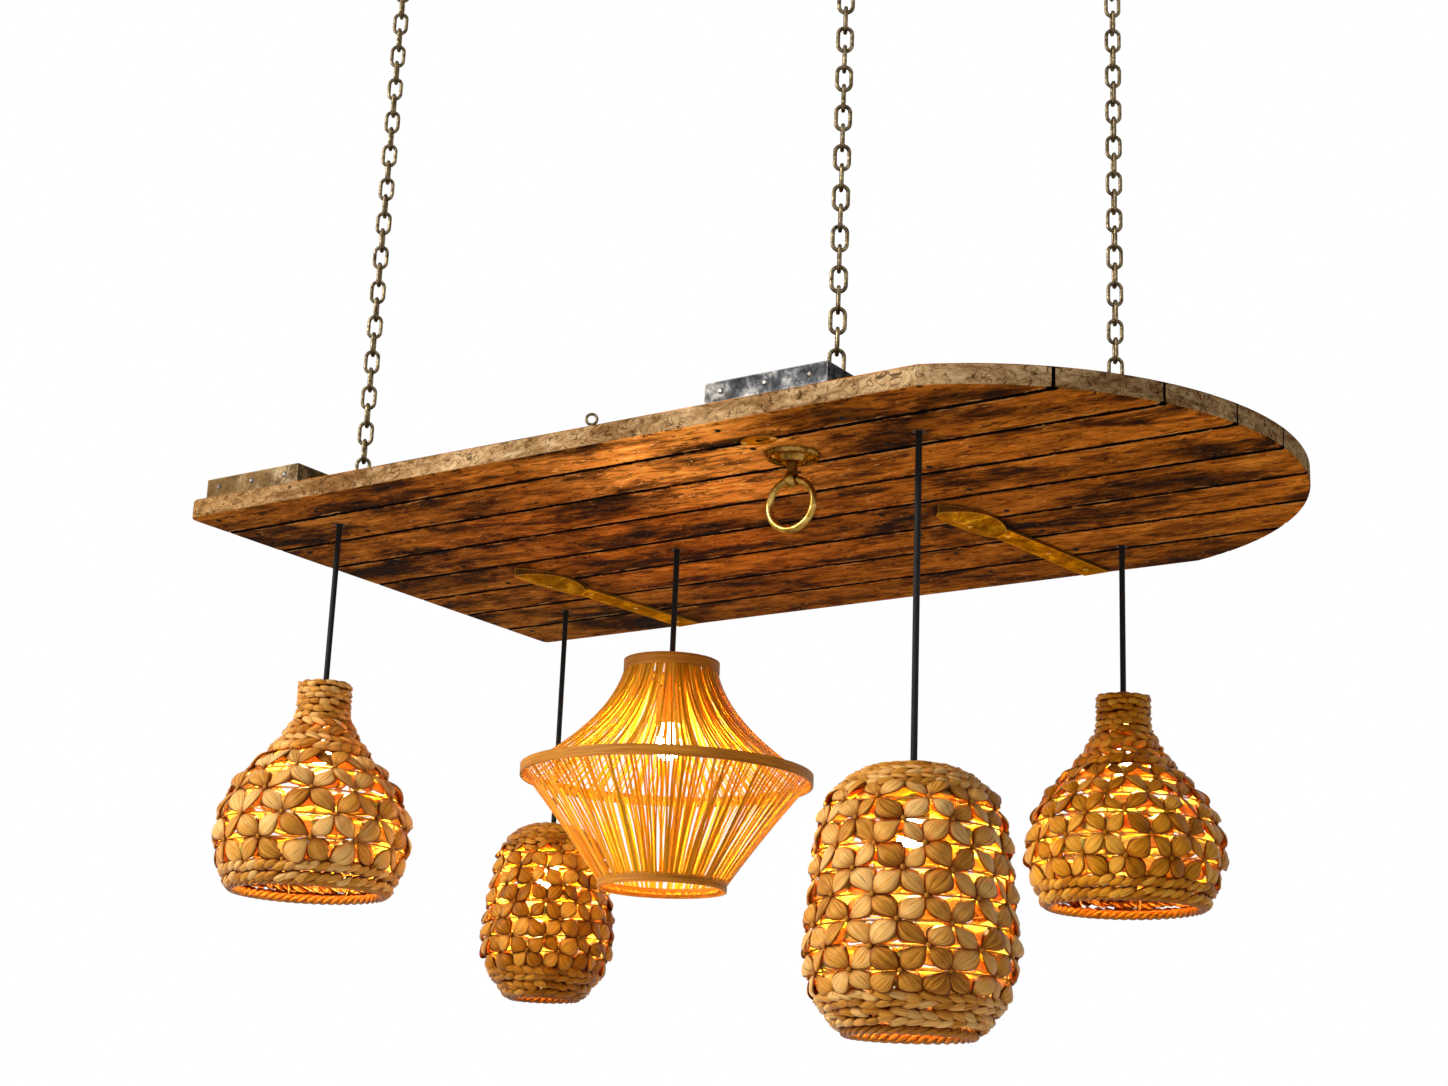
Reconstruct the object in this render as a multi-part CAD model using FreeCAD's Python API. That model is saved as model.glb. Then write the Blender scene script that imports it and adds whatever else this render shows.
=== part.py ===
"""Chandelier made from an old plank door hung flat on three chains, with five shaded pendants below it.

Millimetres. +X runs along the door towards its arched end, +Y across it, +Z up.
The origin is on the ceiling, straight above the centre of the door.
"""
import FreeCAD, Part
import math
import os

vec = FreeCAD.Vector
AXIS_X = vec(1, 0, 0)
AXIS_Y = vec(0, 1, 0)
AXIS_Z = vec(0, 0, 1)

# Clearances shared by every fit
seat_gap = 0.3
hole_clearance = 0.15
plank_gap = 3.2
plank_bevel = 3.0

# How far joining and cutting shapes run past each other, and the size below which a span counts as none
overrun = 1.0
no_span = 0.01

# Door leaf: straight planks, arched at one end
door_length = 1800.0
door_width = 1008.0
door_thickness = 35.0
arch_rise = 351.0
plank_count = 8
first_plank_width = 97.0
door_edge_round = 5.0
door_corner_round = 16.0
half_length = door_length / 2
half_width = door_width / 2
arch_shoulder_x = half_length - arch_rise

# Cross ledges on top of the planks, each under a folded steel cover
ledge_width = 215.0
ledge_height = 31.0
ledge_end_setback = 5.0
ledge_left_inset = 142.0
ledge_right_inset = 258.0
ledge_left_x = -half_length + ledge_left_inset
ledge_right_x = arch_shoulder_x - ledge_right_inset
cover_sheet = 1.6
cable_hole_radius = 46.0

# Fasteners: cover screws, nails and brass screws
screw_shank_radius = 2.0
screw_head_radius = 5.0
screw_head_top_radius = 2.75
screw_head_height = 2.6
cover_screw_length = 20.0
cover_end_screw_pitch = 78.0
cover_side_screw_pitch = 230.0
nail_shank_radius = 2.0
nail_head_radius = 4.5
nail_head_height = 1.2
nail_point_cover = 6.0
nail_edge_distance = 30.0
nail_ledge_offset = 98.0
brass_screw_length = 28.0

# Chain of round wire
link_wire = 6.5
link_inner_length = 35.0
link_inner_width = 16.0
chain_drop = 1041.0
chain_turn = 34.0
hang_along = vec(math.cos(math.radians(chain_turn)), math.sin(math.radians(chain_turn)), 0)
hang_across = AXIS_Z.cross(hang_along)

# Ceiling plates and their hooks
plate_radius = 42.0
plate_thickness = 5.0
plate_hole_radius = 2.75
plate_hole_circle = 30.0
plate_hole_count = 4
hook_wire = 8.0
hook_ring_radius = 15.0
hook_neck = 12.0
hook_neck_radius = 5.0
hook_open_angle = 48.0
hook_opening_turn = 78.0

# Screw eyes: three that carry the door, and a spare small one at the near edge
eye_wire = 7.0
eye_ring_radius = 13.0
eye_collar_radius = 10.0
eye_collar_height = 4.0
eye_shank_radius = 3.5
eye_shank_length = 26.0
eye_collar_bite = 1.0
left_foot_side_inset = 274.0
right_foot_side_inset = 204.0
arch_foot_end_inset = 400.0
arch_foot_side_inset = 234.0
chain_feet = ((ledge_left_x, -half_width + left_foot_side_inset),
              (ledge_right_x, -half_width + right_foot_side_inset),
              (half_length - arch_foot_end_inset, half_width - arch_foot_side_inset))
spare_eye_x = -39.0
spare_eye_edge_distance = 20.0
spare_eye_wire = 4.5
spare_eye_ring_radius = 8.5
spare_eye_neck = 6.0
spare_eye_turn = -30.0

# Strap hinges on the underside
strap_tip_offset = 4.0
strap_length = 488.0
strap_sheet = 4.5
strap_skew = 6.5
strap_left_offset = 178.0
strap_right_offset = 14.0
strap_left_x = ledge_left_x + strap_left_offset
strap_right_x = ledge_right_x + strap_right_offset
leaf_length = 170.0
leaf_width = 80.0
leaf_widest_share = 0.45
leaf_ridge = 15.0
strap_waist_width = 42.0
strap_end_width = 50.0
strap_screw_places = (92.0, 205.0, 330.0, 452.0)

# Keyhole plate and ring pull
keyhole_setback = 323.0
keyhole_side_inset = 92.0
keyhole_x = arch_shoulder_x - keyhole_setback
keyhole_y = -half_width + keyhole_side_inset
keyhole_plate_length = 62.0
keyhole_plate_width = 38.0
keyhole_plate_sheet = 3.0
keyhole_radius = 6.0
keyhole_slot_width = 6.0
keyhole_slot_length = 18.0
pull_setback = 317.0
pull_side_inset = 178.0
pull_x = arch_shoulder_x - pull_setback
pull_y = -half_width + pull_side_inset
rosette_radius = 43.0
rosette_height = 14.0
rosette_rim = 7.5
rosette_rim_width = 4.0
rosette_dish = 3.5
rosette_bevel = 3.0
rosette_boss_radius = 20.0
rosette_screw_circle = 29.0
rosette_screw_count = 3
neck_radius = 8.0
neck_head_radius = 13.0
neck_head_height = 4.0
neck_length = 26.0
neck_ball_radius = 13.0
neck_ball_half_width = 8.0
pull_ring_radius = 40.0
pull_ring_wire = 11.0

# Wiring on top of the door
cord_radius = 5.0
cord_bend_radius = 30.0
grip_radius = 9.0
grip_length = 30.0
grip_mouth_radius = 7.5
grip_mouth_depth = 8.0
grip_wall = 3.0
box_x = -100.0
box_y = 150.0
box_radius = 58.0
box_wall = 3.0
box_height = 62.0
lid_height = 4.0
lid_rim_depth = 8.0
gland_radius = 11.0
gland_height = 18.0
gland_bore_radius = 5.2
terminal_length = 54.0
terminal_width = 26.0
terminal_height = 20.0
terminal_edge_round = 2.0

# Lampholders and bulbs, the same in every pendant
holder_neck_radius = 9.0
holder_radius = 24.0
holder_shoulder_drop = 16.0
holder_body_length = 62.0
holder_chamfer_width = 2.0
holder_chamfer_height = 3.0
socket_radius = 14.0
socket_depth = 30.0
bulb_base_radius = 13.4
bulb_base_length = 27.0
bulb_waist_radius = 12.7
bulb_waist_drop = 6.0
bulb_radius = 24.0
bulb_length = 62.0
bulb_shoulder_share = 0.94

# Woven shades. A pair of shares places a point of the outline between two others: outwards, then down
weave_wall = 14.0
shade_hole_clearance = 0.6
bell_height = 360.0
bell_neck_radius = 48.0
bell_neck_height = 46.0
bell_waist_radius = 104.0
bell_waist_drop = 138.0
bell_radius = 166.0
bell_belly_drop = 268.0
bell_mouth_radius = 134.0
bell_flare = (0.3, 0.5)
bell_shoulder = (0.62, 0.36)
bell_hip = (0.95, 0.78)
bell_tuck = (0.34, 0.48)
near_barrel_height = 382.0
near_barrel_radius = 151.0
far_barrel_height = 330.0
far_barrel_radius = 125.0
barrel_crown_radius = 42.0
barrel_shoulder_drop = 96.0
barrel_shoulder_inset = 13.0
barrel_foot_rise = 96.0
barrel_mouth_inset = 56.0
barrel_dome = (0.62, 0.27)
barrel_brow = (0.88, 0.6)
barrel_middle = (0.77, 0.5)
barrel_heel = (0.22, 0.4)
barrel_toe = (0.52, 0.66)

# Bamboo shade: three hoops, two tiers of splints, a wire spider
hoop_sheet = 4.0
top_hoop_radius = 84.0
top_hoop_height = 20.0
mid_hoop_radius = 253.0
mid_hoop_height = 18.0
mid_hoop_drop = 203.0
bottom_hoop_radius = 111.0
bottom_hoop_height = 17.0
bamboo_height = 398.0
slat_count = 48
slat_width = 3.6
slat_sheet = 2.0
slat_end_cover = 6.0
upper_bow_inset = 34.0
lower_bow_inset = 4.0
spider_wire = 4.0
spider_arm_count = 3
bamboo_holder_drop = 34.0

# Where the pendants hang: insets from an end and a side of the door, and drop from its underside to the shade
left_bell_end_inset = 219.0
left_bell_side_inset = 148.0
left_bell_drop = 283.0
far_barrel_end_inset = 209.0
far_barrel_side_inset = 201.0
far_barrel_drop = 426.0
bamboo_end_inset = 661.0
bamboo_offset_y = 38.0
bamboo_drop = 204.0
near_barrel_end_inset = 444.0
near_barrel_side_inset = 174.0
near_barrel_drop = 502.0
right_bell_end_inset = 434.0
right_bell_side_inset = 140.0
right_bell_drop = 262.0
pendants = {
    "left_bell": (-half_length + left_bell_end_inset, -half_width + left_bell_side_inset, left_bell_drop),
    "far_barrel": (-half_length + far_barrel_end_inset, half_width - far_barrel_side_inset, far_barrel_drop),
    "bamboo": (-half_length + bamboo_end_inset, bamboo_offset_y, bamboo_drop),
    "near_barrel": (half_length - near_barrel_end_inset, -half_width + near_barrel_side_inset,
                    near_barrel_drop),
    "right_bell": (half_length - right_bell_end_inset, half_width - right_bell_side_inset, right_bell_drop),
}

# Heights that follow, from the ceiling down
link_drop = link_inner_length + link_wire
link_step = link_inner_length - seat_gap
chain_link_count = 2 * round(chain_drop / (2 * link_step))
hook_centre_z = -plate_thickness - hook_neck - hook_ring_radius
hook_z = hook_centre_z - hook_ring_radius
top_link_z = hook_z + (hook_wire + link_wire) / 2 + seat_gap
chain_pivot_z = top_link_z - link_drop
low_pivot_z = chain_pivot_z - chain_link_count * link_step
door_pivot_z = low_pivot_z - link_step
eye_top_z = door_pivot_z + (link_wire + eye_wire) / 2 + seat_gap
eye_centre_z = eye_top_z - eye_ring_radius
eye_seat_z = eye_centre_z - eye_ring_radius - eye_wire / 2 - eye_collar_height + eye_collar_bite
cover_top_z = eye_seat_z
ledge_top_z = cover_top_z - cover_sheet
door_top_z = ledge_top_z - ledge_height
door_z = door_top_z - door_thickness
cord_run_z = cover_top_z + cord_radius + hole_clearance
cord_pivot_z = door_z + grip_mouth_depth


def box(x0, x1, y0, y1, z0, z1):
    """Block between two corners."""
    return Part.makeBox(x1 - x0, y1 - y0, z1 - z0, vec(x0, y0, z0))


def rod(start, end, radius):
    """Round bar between two points."""
    run = end - start
    return Part.makeCylinder(radius, run.Length, start, run)


def upright(x, y, z0, z1, radius):
    """Upright round bar."""
    return rod(vec(x, y, z0), vec(x, y, z1), radius)


def fuse(shapes):
    """One solid from overlapping solids, without seams between flush faces."""
    first = shapes[0]
    return first.fuse(list(shapes[1:])).removeSplitter()


def turned(edges, x=0.0, y=0.0, z=0.0):
    """Solid of revolution about the upright axis from a closed outline of (radius, height) edges."""
    face = Part.Face(Part.Wire(Part.__sortEdges__(edges)))
    solid = face.revolve(vec(0, 0, 0), AXIS_Z, 360)
    solid.translate(vec(x, y, z))
    return solid


def line(a, b):
    """Straight edge between two (radius, height) points of a turned outline."""
    return Part.makeLine(vec(a[0], 0, a[1]), vec(b[0], 0, b[1]))


def arc(a, b, c):
    """Arc through three (radius, height) points of a turned outline."""
    return Part.Arc(vec(a[0], 0, a[1]), vec(b[0], 0, b[1]), vec(c[0], 0, c[1])).toShape()


def curve(points):
    """Smooth edge through (radius, height) points of a turned outline."""
    spline = Part.BSplineCurve()
    spline.interpolate([vec(r, 0, z) for r, z in points])
    return spline.toShape()


def polyline(points):
    """Straight edges through (radius, height) points, closed."""
    following = list(points[1:]) + [points[0]]
    return [line(a, b) for a, b in zip(points, following)]


def export(name, shapes):
    """Write one node: a single solid, or a group of like solids."""
    solids = [solid for shape in shapes for solid in shape.Solids]
    shape = solids[0] if len(solids) == 1 else Part.makeCompound(solids)
    if not shape.isValid():
        print("not valid:", name)
    shape.exportStep("parts/" + name + ".step")


# Fasteners and their holes


def screw(place, direction, length):
    """Round-headed screw whose head sits on the surface at place and whose shank runs along direction."""
    along = vec(direction).normalize()
    shank = Part.makeCylinder(screw_shank_radius, length, place, along)
    head = Part.makeCone(screw_head_radius, screw_head_top_radius, screw_head_height, place, along * -1)
    return fuse([head, shank])


def screw_hole(place, direction, length):
    """Hole that clears the shank of a screw."""
    along = vec(direction).normalize()
    radius = screw_shank_radius + hole_clearance
    return Part.makeCylinder(radius, length + seat_gap, place, along)


# Chains, hooks and screw eyes


def link(x, y, top_z, across):
    """Chain link hanging from its upper bow, flat in the plane of the given horizontal direction."""
    bow = (link_inner_width + link_wire) / 2
    wire = link_wire / 2
    turn = math.degrees(math.atan2(across.y, across.x))
    upper = vec(x, y, top_z - bow)
    lower = vec(x, y, top_z - link_drop + bow)
    upper_bow = Part.makeTorus(bow, wire, vec(0, 0, 0), AXIS_Z, -180, 180, 180)
    lower_bow = upper_bow.copy()
    lower_bow.rotate(vec(0, 0, 0), AXIS_Z, 180)
    bows = []
    for shape, centre in ((upper_bow, upper), (lower_bow, lower)):
        shape.rotate(vec(0, 0, 0), AXIS_X, 90)
        shape.rotate(vec(0, 0, 0), AXIS_Z, turn)
        shape.translate(centre)
        bows.append(shape)
    sides = [rod(upper + across * bow * side, lower + across * bow * side, wire) for side in (-1, 1)]
    return fuse(bows + sides)


def chain(x, y):
    """The links between the top link and the low link, in pairs that turn a quarter and back."""
    links = []
    for index in range(chain_link_count):
        across = hang_across if index % 2 == 0 else hang_along
        links.append(link(x, y, chain_pivot_z + link_wire + seat_gap - index * link_step, across))
    return links


def ring(centre, radius, wire, axis):
    """Closed ring of round wire."""
    return Part.makeTorus(radius, wire / 2, centre, axis)


def ceiling_hook(x, y):
    """Round screw plate with an open hook below it."""
    plate = upright(x, y, -plate_thickness, 0, plate_radius)
    holes = []
    for index in range(plate_hole_count):
        turn = 2 * math.pi * (index + 0.5) / plate_hole_count
        hole_x = x + plate_hole_circle * math.cos(turn)
        hole_y = y + plate_hole_circle * math.sin(turn)
        holes.append(upright(hole_x, hole_y, -plate_thickness - overrun, overrun, plate_hole_radius))
    neck = upright(x, y, hook_centre_z + hook_ring_radius, -plate_thickness + overrun, hook_neck_radius)
    sweep = 360 - hook_open_angle
    bend = Part.makeTorus(hook_ring_radius, hook_wire / 2, vec(0, 0, 0), AXIS_Z, -180, 180, sweep)
    bend.rotate(vec(0, 0, 0), AXIS_Y, 90)
    bend.rotate(vec(0, 0, 0), AXIS_X, hook_opening_turn)
    bend.rotate(vec(0, 0, 0), AXIS_Z, chain_turn)
    bend.translate(vec(x, y, hook_centre_z))
    return fuse([plate.cut(holes), neck, bend])


def carrying_eye(x, y, foot_z):
    """Screw eye that carries the door: ring, neck, collar and shank."""
    loop = ring(vec(x, y, eye_centre_z), eye_ring_radius, eye_wire, hang_across)
    neck = upright(x, y, foot_z + eye_collar_height, eye_centre_z - eye_ring_radius, eye_wire / 2)
    collar = upright(x, y, foot_z, foot_z + eye_collar_height, eye_collar_radius)
    shank = upright(x, y, foot_z - eye_shank_length, foot_z, eye_shank_radius)
    return fuse([loop, neck, collar, shank])


def spare_eye():
    """Small screw eye at the near edge that carries nothing."""
    y = -half_width + spare_eye_edge_distance
    centre_z = door_top_z + spare_eye_neck + spare_eye_ring_radius + spare_eye_wire / 2
    turn = math.radians(spare_eye_turn)
    loop = ring(vec(spare_eye_x, y, centre_z), spare_eye_ring_radius, spare_eye_wire,
                vec(math.sin(turn), math.cos(turn), 0))
    neck = upright(spare_eye_x, y, door_top_z, centre_z - spare_eye_ring_radius, spare_eye_wire / 2)
    collar = upright(spare_eye_x, y, door_top_z, door_top_z + spare_eye_wire / 2, spare_eye_wire)
    shank = upright(spare_eye_x, y, door_top_z - eye_shank_length, door_top_z, spare_eye_wire / 2)
    return fuse([loop, neck, collar, shank])


def eye_holes():
    """Holes for the shanks of the four screw eyes."""
    holes = []
    for (x, y), foot_z in zip(chain_feet, eye_feet()):
        radius = eye_shank_radius + hole_clearance
        holes.append(upright(x, y, foot_z - eye_shank_length - seat_gap, foot_z, radius))
    y = -half_width + spare_eye_edge_distance
    radius = spare_eye_wire / 2 + hole_clearance
    holes.append(upright(spare_eye_x, y, door_top_z - eye_shank_length - seat_gap, door_top_z, radius))
    return holes


def eye_feet():
    """Height of the surface each carrying eye stands on: a ledge cover, or the planks."""
    heights = []
    for x, y in chain_feet:
        on_ledge = any(abs(x - ledge_x) < ledge_width / 2 for ledge_x in (ledge_left_x, ledge_right_x))
        heights.append(cover_top_z if on_ledge else door_top_z)
    return heights


# Door leaf


def door_slab():
    """The whole leaf before it is parted into planks: straight sides and a segmental arch."""
    left = -half_length
    corners = [vec(arch_shoulder_x, half_width, door_z), vec(left, half_width, door_z),
               vec(left, -half_width, door_z), vec(arch_shoulder_x, -half_width, door_z)]
    edges = [Part.makeLine(a, b) for a, b in zip(corners, corners[1:])]
    edges.append(Part.Arc(corners[-1], vec(half_length, 0, door_z), corners[0]).toShape())
    slab = Part.Face(Part.Wire(edges)).extrude(vec(0, 0, door_thickness))
    posts = [e for e in slab.Edges if is_left_corner(e)]
    slab = slab.makeFillet(door_corner_round, posts)
    rims = [e for e in slab.Edges if e.BoundBox.ZMax - e.BoundBox.ZMin < no_span]
    return slab.makeFillet(door_edge_round, rims)


def is_left_corner(edge):
    """True for the two upright corner edges of the square end."""
    tall = edge.BoundBox.ZMax - edge.BoundBox.ZMin > door_thickness / 2
    return tall and edge.BoundBox.XMax < -half_length + overrun


def plank_edges():
    """Y of every joint between planks, edges of the door included."""
    rest = (door_width - first_plank_width) / (plank_count - 1)
    inner = [-half_width + first_plank_width + rest * index for index in range(plank_count)]
    return [-half_width] + inner


def joint_grooves():
    """Three-cornered grooves that bevel the lower edges of the planks along every joint."""
    half = plank_gap / 2 + plank_bevel
    grooves = []
    for y in plank_edges()[1:-1]:
        corners = [vec(-half_length, y - half, door_z), vec(-half_length, y + half, door_z),
                   vec(-half_length, y, door_z + half)]
        groove = Part.Face(Part.makePolygon(corners + corners[:1]))
        grooves.append(groove.extrude(vec(door_length, 0, 0)))
    return grooves


def nail_places():
    """Two nails through every plank into each ledge."""
    places = []
    edges = plank_edges()
    for ledge_x in (ledge_left_x, ledge_right_x):
        for low, high in zip(edges, edges[1:]):
            for y in (low + nail_edge_distance, high - nail_edge_distance):
                side = -1 if y - low < high - y else 1
                places.append((ledge_x + side * nail_ledge_offset, y))
    return places


def nail(x, y):
    """Cut nail driven up through a plank into a ledge."""
    head = upright(x, y, door_z - nail_head_height, door_z, nail_head_radius)
    shank = upright(x, y, door_z, ledge_top_z - nail_point_cover, nail_shank_radius)
    return fuse([head, shank])


def nail_holes():
    """Holes that clear the nails."""
    top = ledge_top_z - nail_point_cover + seat_gap
    radius = nail_shank_radius + hole_clearance
    return [upright(x, y, door_z - overrun, top, radius) for x, y in nail_places()]


def grip_holes():
    """Stepped holes for the cord grips and the cords above them."""
    holes = []
    for x, y, drop in pendants.values():
        holes.append(upright(x, y, door_z - overrun, door_z + grip_length, grip_radius + hole_clearance))
        holes.append(upright(x, y, door_z, door_top_z + overrun, cord_radius + hole_clearance))
    return holes


def under_ledge(x, ledge_x):
    """True where a cord comes up beneath a ledge."""
    return abs(x - ledge_x) < ledge_width / 2 + cable_hole_radius


def cable_holes(ledge_x):
    """Wide holes in a ledge and its cover, where cords rise and bend over."""
    places = [(x, y) for x, y, drop in pendants.values() if under_ledge(x, ledge_x)]
    low = door_top_z - overrun
    high = cover_top_z + overrun
    return [upright(x, y, low, high, cable_hole_radius) for x, y in places]


def ledge(ledge_x):
    """Wooden cross ledge on top of the planks."""
    reach = half_width - ledge_end_setback - cover_sheet
    half = ledge_width / 2 - cover_sheet
    return box(ledge_x - half, ledge_x + half, -reach, reach, door_top_z, ledge_top_z)


def ledge_cover(ledge_x):
    """Folded steel cover over a ledge, open below."""
    reach = half_width - ledge_end_setback
    half = ledge_width / 2
    outer = box(ledge_x - half, ledge_x + half, -reach, reach, door_top_z, cover_top_z)
    return outer.cut(ledge(ledge_x))


def cover_screw_places(ledge_x):
    """Place and direction of the screws in the ends and sides of a cover."""
    z = (door_top_z + cover_top_z) / 2
    places = []
    for end in (-1, 1):
        for step in (-1, 0, 1):
            x = ledge_x + step * cover_end_screw_pitch
            places.append((vec(x, end * (half_width - ledge_end_setback), z), vec(0, -end, 0)))
    for side in (-1, 1):
        for step in (-1, 1):
            y = step * cover_side_screw_pitch
            places.append((vec(ledge_x + side * ledge_width / 2, y, z), vec(-side, 0, 0)))
    return places


# Strap hinges, keyhole plate and ring pull


def strap_place(tip_x):
    """Placement of a strap hinge: its own length runs along +Y from the tip, face against the door."""
    return FreeCAD.Placement(vec(tip_x, strap_tip_offset, door_z), FreeCAD.Rotation(AXIS_Z, -strap_skew))


def strap_hinge(tip_x):
    """Leaf-headed strap hinge: ridged leaf, narrow waist, strap that widens to the edge of the door."""
    half = leaf_width / 2
    waist = strap_waist_width / 2
    tip = vec(0, 0, 0)
    widest = leaf_length * leaf_widest_share
    sides = [Part.Arc(tip, vec(side * half, widest, 0), vec(side * waist, leaf_length, 0)).toShape()
             for side in (-1, 1)]
    across = Part.makeLine(vec(-waist, leaf_length, 0), vec(waist, leaf_length, 0))
    leaf = Part.Face(Part.Wire(Part.__sortEdges__(sides + [across]))).extrude(vec(0, 0, -leaf_ridge))
    eaves = half + overrun
    gable_points = [(-eaves, 0), (eaves, 0), (eaves, -strap_sheet),
                    (0, -leaf_ridge), (-eaves, -strap_sheet), (-eaves, 0)]
    gable = Part.Face(Part.makePolygon([vec(x, -overrun, z) for x, z in gable_points]))
    leaf = leaf.common(gable.extrude(vec(0, leaf_length + 2 * overrun, 0)))
    end = strap_end_width / 2
    strap_points = [vec(-waist, leaf_length - overrun, 0), vec(waist, leaf_length - overrun, 0),
                    vec(end, strap_length, 0), vec(-end, strap_length, 0)]
    strap = Part.Face(Part.makePolygon(strap_points + strap_points[:1])).extrude(vec(0, 0, -strap_sheet))
    hinge = fuse([leaf, strap])
    hinge.Placement = strap_place(tip_x)
    return hinge


def strap_screw_seats(tip_x):
    """Surface point of every screw in a strap hinge, in the frame of the door."""
    place = strap_place(tip_x)
    depths = [leaf_ridge if along < leaf_length else strap_sheet for along in strap_screw_places]
    return [place.multVec(vec(0, along, -depth)) for along, depth in zip(strap_screw_places, depths)]


def keyhole_cut():
    """Keyhole through the plate and the plank: round hole with a slot."""
    low = door_z - keyhole_plate_sheet - overrun
    high = door_top_z + overrun
    round_hole = upright(keyhole_x, keyhole_y, low, high, keyhole_radius)
    half = keyhole_slot_width / 2
    slot = box(keyhole_x, keyhole_x + keyhole_slot_length, keyhole_y - half, keyhole_y + half, low, high)
    return round_hole.fuse(slot)


def keyhole_plate():
    """Oval plate round the keyhole."""
    oval = Part.Ellipse(vec(keyhole_x, keyhole_y, door_z), keyhole_plate_length / 2, keyhole_plate_width / 2)
    face = Part.Face(Part.Wire(oval.toShape()))
    plate = face.extrude(vec(0, 0, -keyhole_plate_sheet))
    holes = [screw_hole(seat, AXIS_Z, brass_screw_length) for seat in keyhole_screw_seats()]
    return plate.cut([keyhole_cut()] + holes)


def keyhole_screw_seats():
    """Two small screws at the ends of the keyhole plate."""
    reach = keyhole_plate_length / 2 - screw_head_radius - overrun
    return [vec(keyhole_x + side * reach, keyhole_y, door_z - keyhole_plate_sheet) for side in (-1, 1)]


def rosette():
    """Round plate, dished between its raised rim and a stepped boss that holds the swivelling neck."""
    foot = door_z
    rim = door_z - rosette_rim
    dish = door_z - rosette_dish
    boss = door_z - rosette_height
    rim_outside = rosette_radius - rosette_bevel
    rim_inside = rim_outside - rosette_rim_width
    outline = polyline([(0, foot), (rosette_radius, foot), (rim_outside, rim), (rim_inside, rim),
                        (rim_inside - rosette_bevel / 2, dish), (rosette_boss_radius + rosette_bevel, dish),
                        (rosette_boss_radius, dish - rosette_bevel),
                        (rosette_boss_radius - rosette_bevel, boss), (0, boss)])
    body = turned(outline, pull_x, pull_y)
    pocket_z = neck_seat_z() - seat_gap
    pocket = upright(pull_x, pull_y, pocket_z, foot + overrun, neck_head_radius + seat_gap)
    bore = upright(pull_x, pull_y, boss - overrun, foot + overrun, neck_radius + seat_gap)
    pins = [screw_hole(seat, AXIS_Z, brass_screw_length) for seat in rosette_screw_seats()]
    return body.cut([pocket, bore] + pins)


def neck_seat_z():
    """Underside of the head of the neck, which hangs on the lip of the rosette."""
    return door_z - seat_gap - neck_head_height


def rosette_screw_seats():
    """Screws in the dish of the rosette."""
    seats = []
    for index in range(rosette_screw_count):
        turn = 2 * math.pi * index / rosette_screw_count + math.pi / 2
        x = pull_x + rosette_screw_circle * math.cos(turn)
        y = pull_y + rosette_screw_circle * math.sin(turn)
        seats.append(vec(x, y, door_z - rosette_dish))
    return seats


def pull_pivot_z():
    """Height of the ring's pivot in the end of the neck."""
    return door_z - rosette_height - neck_length


def ring_hole_radius():
    """Bore in the neck that the curved wire of the ring passes with the seat gap to spare."""
    sag = pull_ring_radius - math.sqrt(pull_ring_radius ** 2 - neck_ball_half_width ** 2)
    return pull_ring_wire / 2 + sag + seat_gap


def pull_neck():
    """Swivelling neck: captive head, stem and a cheeked ball with the ring's bore."""
    pivot = vec(pull_x, pull_y, pull_pivot_z())
    head = upright(pull_x, pull_y, neck_seat_z(), door_z - seat_gap, neck_head_radius)
    stem = upright(pull_x, pull_y, pull_pivot_z(), door_z - seat_gap, neck_radius)
    ball = Part.makeSphere(neck_ball_radius, pivot)
    reach = neck_ball_radius + overrun
    cheeks = box(pull_x - neck_ball_half_width, pull_x + neck_ball_half_width,
                 pull_y - reach, pull_y + reach, pivot.z - reach, pivot.z + reach)
    bore = rod(pivot - AXIS_X * reach, pivot + AXIS_X * reach, ring_hole_radius())
    return fuse([head, stem, ball.common(cheeks)]).cut(bore)


def pull_ring():
    """Plain round ring hanging in the neck."""
    centre = vec(pull_x, pull_y, pull_pivot_z() - pull_ring_radius)
    return ring(centre, pull_ring_radius, pull_ring_wire, AXIS_Y)


# Wiring on top of the door


def cord_grip(x, y):
    """Plug in the door that holds the fixed cord above and the swinging cord below."""
    body = upright(x, y, door_z, door_z + grip_length, grip_radius)
    mouth = upright(x, y, door_z - overrun, cord_pivot_z, grip_mouth_radius)
    cup = Part.makeSphere(cord_radius + seat_gap, vec(x, y, cord_pivot_z))
    socket_top = door_z + grip_length + overrun
    socket = upright(x, y, fixed_cord_foot_z() - seat_gap, socket_top, cord_radius + hole_clearance)
    return body.cut([mouth, cup, socket])


def fixed_cord_foot_z():
    """Lower end of the fixed cord inside its grip."""
    return cord_pivot_z + cord_radius + seat_gap + grip_wall + seat_gap


def fixed_cord(x, y):
    """Fixed cord: up out of its grip, over one bend, and straight to the junction box."""
    away = vec(box_x - x, box_y - y, 0)
    reach = away.Length - box_radius + box_wall + seat_gap
    rise = rod(vec(0, 0, fixed_cord_foot_z()), vec(0, 0, cord_run_z - cord_bend_radius), cord_radius)
    bend = Part.makeTorus(cord_bend_radius, cord_radius, vec(0, 0, 0), AXIS_Z, -180, 180, 90)
    bend.rotate(vec(0, 0, 0), AXIS_Z, 90)
    bend.rotate(vec(0, 0, 0), AXIS_X, 90)
    bend.translate(vec(cord_bend_radius, 0, cord_run_z - cord_bend_radius))
    run = rod(vec(cord_bend_radius, 0, cord_run_z), vec(reach, 0, cord_run_z), cord_radius)
    cord = fuse([rise, bend, run])
    cord.rotate(vec(0, 0, 0), AXIS_Z, math.degrees(math.atan2(away.y, away.x)))
    cord.translate(vec(x, y, 0))
    return cord


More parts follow.
